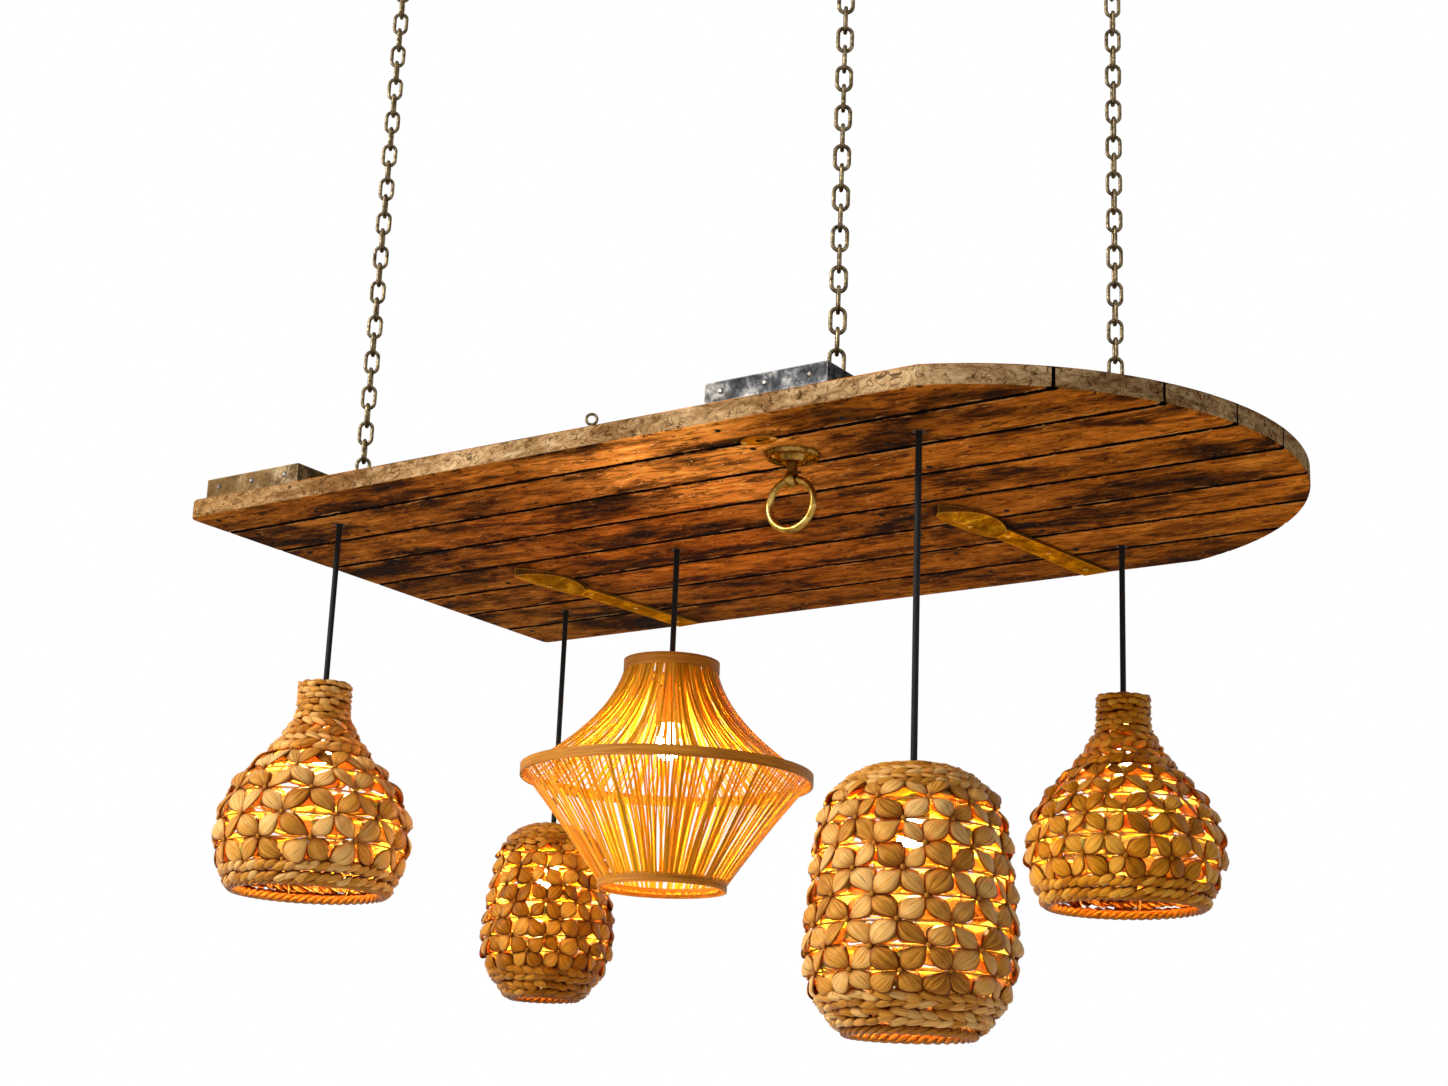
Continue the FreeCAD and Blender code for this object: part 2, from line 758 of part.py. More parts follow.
def junction_box():
    """Round junction box on the planks, with a hole for each fixed cord."""
    outer = upright(box_x, box_y, door_top_z, door_top_z + box_height, box_radius)
    mouth_z = door_top_z + box_height + overrun
    inner = upright(box_x, box_y, door_top_z + box_wall, mouth_z, box_radius - box_wall)
    holes = []
    for x, y, drop in pendants.values():
        centre = vec(box_x, box_y, cord_run_z)
        holes.append(rod(centre, vec(x, y, cord_run_z), cord_radius + hole_clearance))
    screws = [screw_hole(seat, AXIS_Z * -1, cover_screw_length) for seat in box_screw_seats()]
    return outer.cut([inner] + holes + screws)


def box_screw_seats():
    """Two screws through the floor of the junction box."""
    reach = box_radius - box_wall - 2 * screw_head_radius
    return [vec(box_x + side * reach, box_y, door_top_z + box_wall) for side in (-1, 1)]


def junction_lid():
    """Lid with a rim inside the box and a gland for the supply."""
    top = door_top_z + box_height
    disc = upright(box_x, box_y, top, top + lid_height, box_radius)
    rim_radius = box_radius - box_wall - hole_clearance
    rim = upright(box_x, box_y, top - lid_rim_depth, top, rim_radius)
    hollow = upright(box_x, box_y, top - lid_rim_depth - overrun, top, rim_radius - box_wall)
    gland_top = top + lid_height + gland_height
    gland = upright(box_x, box_y, top + lid_height, gland_top, gland_radius)
    bore = upright(box_x, box_y, top - overrun, gland_top + overrun, gland_bore_radius)
    return fuse([disc, rim.cut(hollow), gland]).cut(bore)


def terminal_block():
    """Terminal block on the floor of the junction box."""
    floor = door_top_z + box_wall
    half = terminal_width / 2
    block = box(box_x - half, box_x + half, box_y - terminal_length / 2, box_y + terminal_length / 2,
                floor, floor + terminal_height)
    upper_edges = [e for e in block.Edges if e.BoundBox.ZMax > floor + overrun]
    return block.makeFillet(terminal_edge_round, upper_edges)


# Pendants


def hanging_cord(x, y, low_z):
    """Straight cord with round ends, free to swing in its grip and in the lampholder."""
    top = vec(x, y, cord_pivot_z)
    low = vec(x, y, low_z)
    ends = [Part.makeSphere(cord_radius, end) for end in (top, low)]
    return fuse([rod(low, top, cord_radius)] + ends)


def lampholder(x, y, top_z):
    """Lampholder: neck with a cup for the cord, shoulder that carries the shade, body with its socket."""
    shoulder = -holder_shoulder_drop
    low = shoulder - holder_body_length
    outline = polyline([(0, 0), (holder_neck_radius, 0), (holder_neck_radius, shoulder),
                        (holder_radius - holder_chamfer_width, shoulder),
                        (holder_radius, shoulder - holder_chamfer_height), (holder_radius, low),
                        (socket_radius, low), (socket_radius, low + socket_depth), (0, low + socket_depth)])
    cup = Part.makeSphere(cord_radius + seat_gap, vec(x, y, top_z))
    return turned(outline, x, y, top_z).cut(cup)


def bulb(x, y, top_z):
    """Bulb: screw base in the socket and a rounded glass below it."""
    mouth = -holder_shoulder_drop - holder_body_length
    base_top = mouth + bulb_base_length
    centre = mouth - bulb_length + bulb_radius
    waist = (bulb_waist_radius, mouth - bulb_waist_drop)
    shoulder_radius = bulb_radius * bulb_shoulder_share
    shoulder = (shoulder_radius, centre + math.sqrt(bulb_radius ** 2 - shoulder_radius ** 2))
    slant = bulb_radius * math.sqrt(0.5)
    tip = (0, centre - bulb_radius)
    outline = [line((0, base_top), (bulb_base_radius, base_top)),
               line((bulb_base_radius, base_top), (bulb_base_radius, mouth)),
               line((bulb_base_radius, mouth), waist),
               line(waist, shoulder),
               arc(shoulder, (slant, centre - slant), tip),
               line(tip, (0, base_top))]
    return turned(outline, x, y, top_z)


def between(a, b, shares):
    """Point part of the way from one (radius, height) point to another: its own share outwards and down."""
    return (a[0] + (b[0] - a[0]) * shares[0], a[1] + (b[1] - a[1]) * shares[1])


def bell_shade(x, y, top_z):
    """Woven bell: short neck, waist, round belly drawn in to a wide mouth."""
    def side(inset, top):
        neck = (bell_neck_radius - inset, -bell_neck_height)
        waist = (bell_waist_radius - inset, -bell_waist_drop)
        belly = (bell_radius - inset, -bell_belly_drop)
        mouth = (bell_mouth_radius - inset, -bell_height)
        points = [neck, between(neck, waist, bell_flare), waist, between(waist, belly, bell_shoulder),
                  between(waist, belly, bell_hip), belly, between(belly, mouth, bell_tuck), mouth]
        return [line((neck[0], top), neck), curve(points)]
    return woven_shade(side, bell_neck_radius, bell_mouth_radius, bell_height, x, y, top_z)


def barrel_shade(height, radius, x, y, top_z):
    """Woven barrel: domed crown, nearly straight sides, foot drawn in to the mouth."""
    def side(inset, top):
        crown = (barrel_crown_radius, top)
        shoulder = (radius - barrel_shoulder_inset - inset, -barrel_shoulder_drop)
        belly = (radius - inset, -height + barrel_foot_rise)
        mouth = (radius - barrel_mouth_inset - inset, -height)
        points = [crown, between(crown, shoulder, barrel_dome), between(crown, shoulder, barrel_brow),
                  shoulder, between(shoulder, belly, barrel_middle), belly,
                  between(belly, mouth, barrel_heel), between(belly, mouth, barrel_toe), mouth]
        return [curve(points)]
    return woven_shade(side, barrel_crown_radius, radius - barrel_mouth_inset, height, x, y, top_z)


def woven_shade(side, crown, mouth, height, x, y, top_z):
    """Shell between an outer and an inner side outline, with a hole in the crown for the lampholder."""
    hole = holder_neck_radius + shade_hole_clearance
    inner_side = side(weave_wall, -holder_shoulder_drop)
    inner_crown = inner_side[0].Vertexes[0].Point.x
    outline = [line((hole, 0), (crown, 0))] + side(0, 0)
    outline.append(line((mouth, -height), (mouth - weave_wall, -height)))
    outline += inner_side
    outline.append(line((inner_crown, -holder_shoulder_drop), (hole, -holder_shoulder_drop)))
    outline.append(line((hole, -holder_shoulder_drop), (hole, 0)))
    return turned(outline, x, y, top_z)


def hoop(radius, height, top_z, x, y):
    """Flat bamboo hoop."""
    outer = upright(x, y, top_z - height, top_z, radius)
    return outer.cut(upright(x, y, top_z - height - overrun, top_z + overrun, radius - hoop_sheet))


def slats(path, turn, x, y, top_z):
    """Tier of bamboo splints, each a strip of one width along a path of (kind, points) stretches."""
    edges = []
    for kind, points in path:
        inward = [(r - slat_sheet, z) for r, z in points]
        edges += [kind(*points), kind(*inward)]
    first = path[0][1][0]
    last = path[-1][1][-1]
    edges += [line(end, (end[0] - slat_sheet, end[1])) for end in (first, last)]
    face = Part.Face(Part.Wire(Part.__sortEdges__(edges)))
    face.translate(vec(0, -slat_width / 2, 0))
    strip = face.extrude(vec(0, slat_width, 0))
    strips = []
    for index in range(slat_count):
        copy = strip.copy()
        copy.rotate(vec(0, 0, 0), AXIS_Z, 360 / slat_count * (index + turn))
        copy.translate(vec(x, y, top_z))
        strips.append(copy)
    return strips


def slat_radius(hoop_radius):
    """Radius of the outer face of a splint just inside a hoop."""
    return hoop_radius - hoop_sheet - seat_gap


def bow(upper, lower, inset):
    """Arc of a bent splint between two (radius, height) points, drawn in at its middle."""
    middle = ((upper[0] + lower[0]) / 2 - inset, (upper[1] + lower[1]) / 2)
    return (arc, (upper, middle, lower))


def bamboo_hoops(x, y, top_z):
    """Top, middle and bottom hoop of the bamboo shade."""
    return [hoop(top_hoop_radius, top_hoop_height, top_z, x, y),
            hoop(mid_hoop_radius, mid_hoop_height, top_z - mid_hoop_drop + mid_hoop_height / 2, x, y),
            hoop(bottom_hoop_radius, bottom_hoop_height, top_z - bamboo_height + bottom_hoop_height, x, y)]


def bamboo_upper_slats(x, y, top_z):
    """Splints from inside the top hoop, bent out to the middle hoop."""
    top = slat_radius(top_hoop_radius)
    neck = (top, -top_hoop_height)
    middle = (slat_radius(mid_hoop_radius), -mid_hoop_drop)
    path = [(line, ((top, -slat_end_cover), neck)), bow(neck, middle, upper_bow_inset)]
    return slats(path, 0, x, y, top_z)


def bamboo_lower_slats(x, y, top_z):
    """Splints from the middle hoop, bent in to the bottom hoop."""
    low = slat_radius(bottom_hoop_radius)
    middle = (slat_radius(mid_hoop_radius), -mid_hoop_drop)
    rim = (low, -bamboo_height + bottom_hoop_height)
    path = [bow(middle, rim, lower_bow_inset), (line, (rim, (low, -bamboo_height + slat_end_cover)))]
    return slats(path, 0.5, x, y, top_z)


def bamboo_spider(x, y, top_z):
    """Wire spider: a ring on the shoulder of the lampholder and arms between the splints to the top hoop."""
    ring_z = top_z - bamboo_holder_drop - holder_shoulder_drop + spider_wire / 2
    ring_radius = holder_neck_radius + shade_hole_clearance + spider_wire / 2
    shapes = [ring(vec(x, y, ring_z), ring_radius, spider_wire, AXIS_Z)]
    reach = top_hoop_radius - hoop_sheet - seat_gap - spider_wire / 2
    for index in range(spider_arm_count):
        splint = round(slat_count * index / spider_arm_count)
        turn = 2 * math.pi * (splint + 0.5) / slat_count
        out = vec(math.cos(turn), math.sin(turn), 0)
        foot = vec(x, y, ring_z) + out * ring_radius
        tip = vec(x, y, top_z - top_hoop_height / 2) + out * reach
        shapes.append(rod(foot, tip, spider_wire / 2))
        shapes.append(Part.makeSphere(spider_wire / 2, tip))
    return fuse(shapes)


# Build and write every node

os.makedirs("parts", exist_ok=True)

export("ceiling_hooks", [ceiling_hook(x, y) for x, y in chain_feet])
for number, (x, y) in enumerate(chain_feet, 1):
    export(f"top_link_{number}", [link(x, y, top_link_z, hang_along)])
    export(f"chain_{number}", chain(x, y))
    export(f"low_link_{number}", [link(x, y, low_pivot_z + link_wire + seat_gap, hang_across)])

strap_seats = [seat for tip_x in (strap_left_x, strap_right_x) for seat in strap_screw_seats(tip_x)]
brass_seats = strap_seats + keyhole_screw_seats() + rosette_screw_seats()
brass_holes = [screw_hole(seat, AXIS_Z, brass_screw_length) for seat in brass_seats]
box_holes = [screw_hole(seat, AXIS_Z * -1, cover_screw_length) for seat in box_screw_seats()]

slab = door_slab().cut(joint_grooves())
plank_cuts = nail_holes() + grip_holes() + eye_holes() + brass_holes + box_holes + [keyhole_cut()]
joints = plank_edges()
for number, (low, high) in enumerate(zip(joints, joints[1:]), 1):
    first = low if number == 1 else low + plank_gap / 2
    last = high if number == plank_count else high - plank_gap / 2
    strip = box(-half_length, half_length, first, last, door_z, door_top_z)
    export(f"plank_{number}", [slab.common(strip).cut(plank_cuts)])

cover_screws = [screw(seat, AXIS_Z * -1, cover_screw_length) for seat in box_screw_seats()]
for side, ledge_x in (("left", ledge_left_x), ("right", ledge_right_x)):
    screws = cover_screw_places(ledge_x)
    holes = [screw_hole(place, direction, cover_screw_length) for place, direction in screws]
    cuts = holes + nail_holes() + eye_holes() + cable_holes(ledge_x)
    export(f"ledge_{side}", [ledge(ledge_x).cut(cuts)])
    export(f"ledge_cover_{side}", [ledge_cover(ledge_x).cut(cuts)])
    cover_screws += [screw(place, direction, cover_screw_length) for place, direction in screws]
export("cover_screws", cover_screws)
export("plank_nails", [nail(x, y) for x, y in nail_places()])
export("eye_screws", [carrying_eye(x, y, z) for (x, y), z in zip(chain_feet, eye_feet())] + [spare_eye()])

for side, tip_x in (("left", strap_left_x), ("right", strap_right_x)):
    export(f"strap_hinge_{side}", [strap_hinge(tip_x).cut(brass_holes)])
export("brass_screws", [screw(seat, AXIS_Z, brass_screw_length) for seat in brass_seats])
export("keyhole_plate", [keyhole_plate()])
export("pull_rosette", [rosette()])
export("pull_neck", [pull_neck()])
export("pull_ring", [pull_ring()])

export("junction_box", [junction_box()])
export("junction_lid", [junction_lid()])
export("terminal_block", [terminal_block()])
export("fixed_cords", [fixed_cord(x, y) for x, y, drop in pendants.values()])
export("cord_grips", [cord_grip(x, y) for x, y, drop in pendants.values()])

for name, (x, y, drop) in pendants.items():
    shade_z = door_z - drop
    holder_z = shade_z - bamboo_holder_drop if name == "bamboo" else shade_z
    export(f"{name}_cord", [hanging_cord(x, y, holder_z)])
    export(f"{name}_holder", [lampholder(x, y, holder_z)])
    export(f"{name}_bulb", [bulb(x, y, holder_z)])
    if name.endswith("bell"):
        export(f"{name}_shade", [bell_shade(x, y, shade_z)])
    elif name == "near_barrel":
        shade = barrel_shade(near_barrel_height, near_barrel_radius, x, y, shade_z)
        export(f"{name}_shade", [shade])
    elif name == "far_barrel":
        shade = barrel_shade(far_barrel_height, far_barrel_radius, x, y, shade_z)
        export(f"{name}_shade", [shade])
    else:
        export("bamboo_hoops", bamboo_hoops(x, y, shade_z))
        export("bamboo_upper_slats", bamboo_upper_slats(x, y, shade_z))
        export("bamboo_lower_slats", bamboo_lower_slats(x, y, shade_z))
        export("bamboo_spider", [bamboo_spider(x, y, shade_z)])

print("door underside", round(door_z, 2), "cord pivot", round(cord_pivot_z, 2))
print("pivots: hook", round(hook_z, 2), "chain", round(chain_pivot_z, 2),
      "low", round(low_pivot_z, 2), "door", round(door_pivot_z, 2))
print("pull pivot", round(pull_pivot_z(), 2))
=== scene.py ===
import math
from collections import namedtuple
import bpy
import numpy as np
from mathutils import Matrix, Vector


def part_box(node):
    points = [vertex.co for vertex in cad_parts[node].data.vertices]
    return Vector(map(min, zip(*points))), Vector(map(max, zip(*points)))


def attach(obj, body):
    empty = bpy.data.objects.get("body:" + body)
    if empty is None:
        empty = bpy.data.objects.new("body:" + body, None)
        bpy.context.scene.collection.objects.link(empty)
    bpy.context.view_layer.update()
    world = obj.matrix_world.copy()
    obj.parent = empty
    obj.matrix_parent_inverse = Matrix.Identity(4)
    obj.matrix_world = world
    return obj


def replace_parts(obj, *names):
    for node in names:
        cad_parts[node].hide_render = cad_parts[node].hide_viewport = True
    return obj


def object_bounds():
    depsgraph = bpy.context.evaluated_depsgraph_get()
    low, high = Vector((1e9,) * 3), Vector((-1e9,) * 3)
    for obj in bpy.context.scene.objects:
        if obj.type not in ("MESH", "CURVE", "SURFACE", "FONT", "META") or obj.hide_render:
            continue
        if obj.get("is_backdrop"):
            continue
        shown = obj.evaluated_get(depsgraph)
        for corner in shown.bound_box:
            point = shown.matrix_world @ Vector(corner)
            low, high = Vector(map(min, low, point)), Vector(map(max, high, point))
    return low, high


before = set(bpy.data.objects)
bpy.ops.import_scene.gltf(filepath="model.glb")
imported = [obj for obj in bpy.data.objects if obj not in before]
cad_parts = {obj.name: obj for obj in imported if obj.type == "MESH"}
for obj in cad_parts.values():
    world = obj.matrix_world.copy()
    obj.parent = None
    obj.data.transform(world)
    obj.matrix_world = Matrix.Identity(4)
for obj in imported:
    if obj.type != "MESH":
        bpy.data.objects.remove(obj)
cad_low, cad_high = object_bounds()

rng = np.random.default_rng(11)
scene = bpy.context.scene
full_turn = 2 * math.pi

# Camera of the photo
camera_place = Vector((2.0644, -3.1739, -2.3638))
camera_yaw = math.radians(34.45)
camera_pitch = math.radians(15.963)
camera_roll = math.radians(2.271)
camera_lens = 57.6
camera_sensor = 36.0

# Light
white_level = 1.0
ambient_level = 0.20
key_place = Vector((-2.6, -4.2, 0.9))
key_watts = 300.0
fill_place = Vector((4.2, -3.6, -2.2))
fill_watts = 14.0
lamp_size = 1.6
bulb_colour = (1.0, 0.86, 0.40, 1.0)
woven_glow = 320.0
bamboo_glow = 210.0

# Floor
floor_drop = 0.9
floor_half = 30.0
floor_glow = 0.80

# Planks, with a painted pool of warm light beside the ring pull, painted warmer light towards the arched end,
# and painted shade round their fittings in the colour of their dark joints
plank_count = 8
plank_tone = 0.85
plank_tone_spread = 0.3
lit_patch_place = (0.05, -0.36, -1.25)
lit_patch_core = 0.05
lit_patch_reach = 0.27
lit_patch_gain = (3.3, 3.9, 6.0)
warm_rate = 0.55
painted_glow_end = (1.5, 1.30, 0.75)
fitting_shade_reach = 0.03
dirt_and_shade_colour = (0.004, 0.002, 0.001)
centimetres = 100.0

# Leaves of the woven shades; seats are measured outwards from the outer side of the shell
leaf_rows = 10
leaf_columns = 7
leaf_thickness = 0.0030
leaf_ridge = 0.0010
ridge_waves = (6, 10)
leaf_tip = 0.10
leaf_skew = (0.72, 1.38)
leaf_bow = 0.10
leaf_patterns = 90
leaf_seat = -0.0075
leaf_over = 0.0044
leaf_under = -0.0004
leaf_roll = 0.0056
leaf_swell = 0.12
leaf_blunt = 1.12
leaf_narrowest = 0.011
leaf_widest = 0.040
leaf_width = (0.88, 1.14)
# Reach of the painted shade in the leaves' creases
crease_shade_reach = 0.014

# Flat leaves of the lining
lining_seat = -0.0118
lining_pitch = 0.047
lining_fewest = 8
lining_scatter = 0.2
lining_overlap = 0.72
lining_lean = 0.16
lining_width = (0.60, 0.80)
lining_swell = 0.0022
lining_lift = 0.0004
lining_roll = 0.0008
lining_blunt = 0.4

# Leaves of the braids
braid_fewest = 6
braid_scatter = 0.05
braid_drift = 0.06
braid_rise = 0.36
braid_width = (0.95, 1.2)
braid_swell = 0.46
braid_lift = 0.0008
braid_roll = 0.0030
braid_blunt = 0.36
braid_square = 2.2

# Knots, as (seat, radius) of their rings
knot_rings = ((-0.0078, 0.0030), (-0.0048, 0.0042), (-0.0022, 0.0026))
knot_sides = 6
knot_stretch = 1.25
knot_scatter = 0.0028
knot_drift = 0.06
knot_place = 0.5
knot_tone = 0.35

# Ropes round the mouths; their strands take the painted end shade of the leaf pattern, deeper or lighter as
# they twist
rope_strands = 3
rope_strand = 0.0044
rope_winding = 0.85
rope_lay = 0.045
rope_inset = 0.0065
rope_rise = 0.0075
rope_steps = 360
rope_sides = 8
rope_shade_place = 0.84
rope_shade_swing = 0.08
rope_pattern_step = 7.0
rope_tone = 0.2

# Wire frames behind the weave
wire_sides = 5
ring_wire = 0.0015
ring_seat = -0.0095
ring_steps = 48
rib_count = 8
rib_wire = 0.0016
rib_seat = -0.0115
rib_steps = 40
rib_top = 0.012
rib_phase = 0.3
mouth_margin = 0.004

# Lines of knots and rows of braids, as drops below a shade's crown
left_lines = (0.122, 0.158, 0.200, 0.244, 0.288, 0.326)
right_lines = (0.122, 0.150, 0.182, 0.218, 0.255, 0.292, 0.327)
near_lines = (0.034, 0.062, 0.094, 0.128, 0.163, 0.199, 0.235, 0.270, 0.303, 0.333)
far_lines = (0.036, 0.062, 0.092, 0.124, 0.156, 0.188, 0.220, 0.252, 0.282)
bell_flat_radius = 0.0470
bell_flat_shares = (0.22, 0.55, 0.86)
bell_neck = (0.006, 0.017, 0.028, 0.039, 0.050, 0.061)
bell_waist = ((0.0745, 1.2), (0.0895, -1.1), (0.1040, 1.1), (0.1175, -1.0))
bell_ropes = (0.3325, 0.3495)
barrel_crown = 0.040
barrel_crown_pitch = 0.013
barrel_foot = 0.046
barrel_foot_pitch = 0.0165
barrel_foot_rows = 4
barrel_margin = 0.003

# Splints of the bamboo shade
splint_steps = 15
splint_scatter = 0.33
splint_drift = 0.035
splint_wave = 0.006
splint_stand = (-0.0022, 0.0006)
splint_width = (0.6, 1.25)
splint_thickness = (0.0010, 0.0016)
top_radius = 0.0797
bottom_radius = 0.1067

# Hanging cords
cord_points = 6

Braid = namedtuple("Braid", "run height pitch lean fat overlap")


def set_camera():
    """Camera at the place and turn of the photo's."""
    forward = Vector((-math.sin(camera_yaw) * math.cos(camera_pitch),
                      math.cos(camera_yaw) * math.cos(camera_pitch), math.sin(camera_pitch)))
    right = Vector((math.cos(camera_yaw), math.sin(camera_yaw), 0))
    up = right.cross(forward)
    rolled_right = right * math.cos(camera_roll) + up * math.sin(camera_roll)
    rolled_up = up * math.cos(camera_roll) - right * math.sin(camera_roll)
    data = bpy.data.cameras.new("camera")
    data.lens = camera_lens
    data.sensor_width = camera_sensor
    data.sensor_fit = "HORIZONTAL"
    data.dof.use_dof = False
    camera = bpy.data.objects.new("camera", data)
    turn = Matrix((rolled_right, rolled_up, -forward)).transposed()
    camera.matrix_world = Matrix.Translation(camera_place) @ turn.to_4x4()
    scene.collection.objects.link(camera)
    scene.camera = camera


def set_lamp(name, place, watts):
    """Soft square lamp that faces the middle of the object."""
    data = bpy.data.lights.new(name, "AREA")
    data.energy = watts
    data.size = lamp_size
    lamp = bpy.data.objects.new(name, data)
    aim = (cad_low + cad_high) / 2
    lamp.rotation_mode = "QUATERNION"
    lamp.rotation_quaternion = (aim - place).to_track_quat("-Z", "Y")
    lamp.location = place
    scene.collection.objects.link(lamp)


# Shader helpers


def add(tree, kind, **settings):
    """New node with its settings."""
    node = tree.nodes.new(kind)
    for key, value in settings.items():
        setattr(node, key, value)
    return node


def feed(tree, socket, value):
    """Link a socket to another, or set it to a constant."""
    if isinstance(value, bpy.types.NodeSocket):
        tree.links.new(value, socket)
    else:
        socket.default_value = value


def maths(tree, operation, a, b=0.0, clamp=False):
    """Result of one sum."""
    node = add(tree, "ShaderNodeMath", operation=operation, use_clamp=clamp)
    feed(tree, node.inputs[0], a)
    feed(tree, node.inputs[1], b)
    return node.outputs[0]


def weighted(tree, *terms):
    """Sum of (value, weight) terms."""
    total = None
    for value, weight in terms:
        term = maths(tree, "MULTIPLY", value, weight)
        total = term if total is None else maths(tree, "ADD", total, term)
    return total


def from_half(tree, value):
    """How far a value lies above one half."""
    return maths(tree, "SUBTRACT", value, 0.5)


def split(tree, vector):
    """The three parts of a vector."""
    node = add(tree, "ShaderNodeSeparateXYZ")
    feed(tree, node.inputs[0], vector)
    return node.outputs


def noise(tree, vector, scale=1.0, detail=5.0, roughness=0.55, distortion=0.0):
    """Cloudy noise from 0 to 1."""
    node = add(tree, "ShaderNodeTexNoise")
    feed(tree, node.inputs["Vector"], vector)
    node.inputs["Scale"].default_value = scale
    node.inputs["Detail"].default_value = detail
    node.inputs["Roughness"].default_value = roughness
    node.inputs["Distortion"].default_value = distortion
    return node.outputs["Fac"]


def streaks(tree, vector, scales, detail, roughness, distortion=0.0, shift=(0, 0, 0)):
    """Noise with a scale of its own along each axis, so that it is drawn out along the smallest one."""
    node = add(tree, "ShaderNodeMapping")
    feed(tree, node.inputs["Vector"], vector)
    node.inputs["Scale"].default_value = scales
    node.inputs["Location"].default_value = shift
    return noise(tree, node.outputs[0], 1.0, detail, roughness, distortion)


def ramp(tree, factor, *stops):
    """Colour along stops of (place, colour); a single number is a grey."""
    node = add(tree, "ShaderNodeValToRGB")
    feed(tree, node.inputs[0], factor)
    elements = node.color_ramp.elements
    while len(elements) < len(stops):
        elements.new(0.5)
    for element, (place, colour) in zip(elements, stops):
        element.position = place
        shade = (colour,) * 3 if isinstance(colour, float) else colour
        element.color = (*shade, 1.0)
    return node.outputs["Color"]


def mix(tree, factor, a, b, blend="MIX"):
    """Two colours mixed."""
    node = add(tree, "ShaderNodeMix", data_type="RGBA", blend_type=blend)
    feed(tree, node.inputs["Factor"], factor)
    for socket, value in ((node.inputs[6], a), (node.inputs[7], b)):
        feed(tree, socket, (*value, 1.0) if isinstance(value, tuple) else value)
    return node.outputs[2]


def multiplied(tree, a, b):
    """Product of two colours."""
    return mix(tree, 1.0, a, b, "MULTIPLY")


def bump(tree, shader, height, strength, distance):
    """Fine relief on a shader."""
    node = add(tree, "ShaderNodeBump")
    node.inputs["Strength"].default_value = strength
    node.inputs["Distance"].default_value = distance
    feed(tree, node.inputs["Height"], height)
    tree.links.new(node.outputs[0], shader.inputs["Normal"])


def new_material(name):
    """Empty material, its tree and its shader."""
    material = bpy.data.materials.new(name)
    material.use_nodes = True
    tree = material.node_tree
    return material, tree, tree.nodes["Principled BSDF"]


def rest_place(tree):
    """Place on the object at rest, in metres."""
    return add(tree, "ShaderNodeTexCoord").outputs["Object"]


def marked(tree, name, output):
    """Value that a mesh carries for each of its points."""
    return add(tree, "ShaderNodeAttribute", attribute_name=name).outputs[output]


def openness(tree, distance):
    """One in the open, less where another surface is near."""
    node = add(tree, "ShaderNodeAmbientOcclusion", samples=4)
    node.inputs["Distance"].default_value = distance
    return node.outputs["AO"]


def by_edges(tree, radius):
    """One along the edges and corners of a piece, zero on its open faces."""
    rounded = add(tree, "ShaderNodeBevel", samples=6)
    rounded.inputs["Radius"].default_value = radius
    even = add(tree, "ShaderNodeVectorMath", operation="DOT_PRODUCT")
    tree.links.new(rounded.outputs[0], even.inputs[0])
    tree.links.new(add(tree, "ShaderNodeNewGeometry").outputs["Normal"], even.inputs[1])
    return ramp(tree, even.outputs["Value"], (0.88, 1.0), (0.992, 0.0))


def in_view(tree):
    """One for what is seen straight, mirrored or through glass, zero for what only gives light."""
    path = add(tree, "ShaderNodeLightPath")
    bounced = maths(tree, "MAXIMUM", path.outputs["Is Glossy Ray"], path.outputs["Is Transmission Ray"])
    return maths(tree, "MAXIMUM", path.outputs["Is Camera Ray"], bounced)


# Materials


def plank_face(tree, place, seed, shift, grain, cloud):
    """Stained face of a plank: smudges along its grain, dark flecks and pale chips."""
    fleck = streaks(tree, place, (28, 95, 95), 5, 0.66, 1.4, shift)
    chip = streaks(tree, place, (36, 80, 80), 4, 0.6, 2.2, (seed * 5.3, 0, 0))
    face = ramp(tree, grain, (0.39, (0.020, 0.006, 0.0010)), (0.45, (0.110, 0.032, 0.004)),
                (0.50, (0.270, 0.082, 0.010)), (0.57, (0.450, 0.150, 0.020)), (0.66, (0.68, 0.275, 0.055)))
    face = mix(tree, ramp(tree, fleck, (0.57, 0.0), (0.605, 0.85)), face, (0.022, 0.007, 0.001))
    face = mix(tree, ramp(tree, chip, (0.63, 0.0), (0.66, 0.55)), face, (0.74, 0.36, 0.115))
    return multiplied(tree, face, ramp(tree, cloud, (0.36, 0.35), (0.51, 1.0)))


def plank_edge(tree, place, shift, scratch, cloud, to_arch):
    """Worn tan edge of a plank: scratched, cracked and stained, darker at the square end."""
    worn = ramp(tree, scratch, (0.36, (0.055, 0.021, 0.006)), (0.43, (0.34, 0.180, 0.065)),
                (0.54, (0.62, 0.390, 0.180)), (0.70, (0.90, 0.66, 0.39)))
    patches = ramp(tree, cloud, (0.35, (0.22, 0.090, 0.022)), (0.62, (0.72, 0.455, 0.215)))
    worn = mix(tree, 0.4, worn, patches)
    swirl = streaks(tree, place, (38, 38, 44), 1, 0.5, 1.6, shift)
    crack = ramp(tree, maths(tree, "ABSOLUTE", from_half(tree, swirl)), (0.006, 0.80), (0.024, 0.0))
    worn = mix(tree, crack, worn, (0.050, 0.020, 0.006))
    stain = streaks(tree, place, (7, 7, 26), 5, 0.62, 0.8, shift)
    worn = multiplied(tree, worn, ramp(tree, stain, (0.38, (0.50, 0.41, 0.32)), (0.52, 1.0)))
    return multiplied(tree, worn, ramp(tree, to_arch, (0.02, (0.72, 0.63, 0.50)), (0.34, 1.0)))


def by_lit_patch(tree, place):
    """One in the painted pool of warm light beside the ring pull, zero beyond its reach."""
    away = add(tree, "ShaderNodeVectorMath", operation="DISTANCE")
    feed(tree, away.inputs[0], place)
    away.inputs[1].default_value = lit_patch_place
    return ramp(tree, away.outputs["Value"], (lit_patch_core, 1.0), (lit_patch_reach, 0.0))


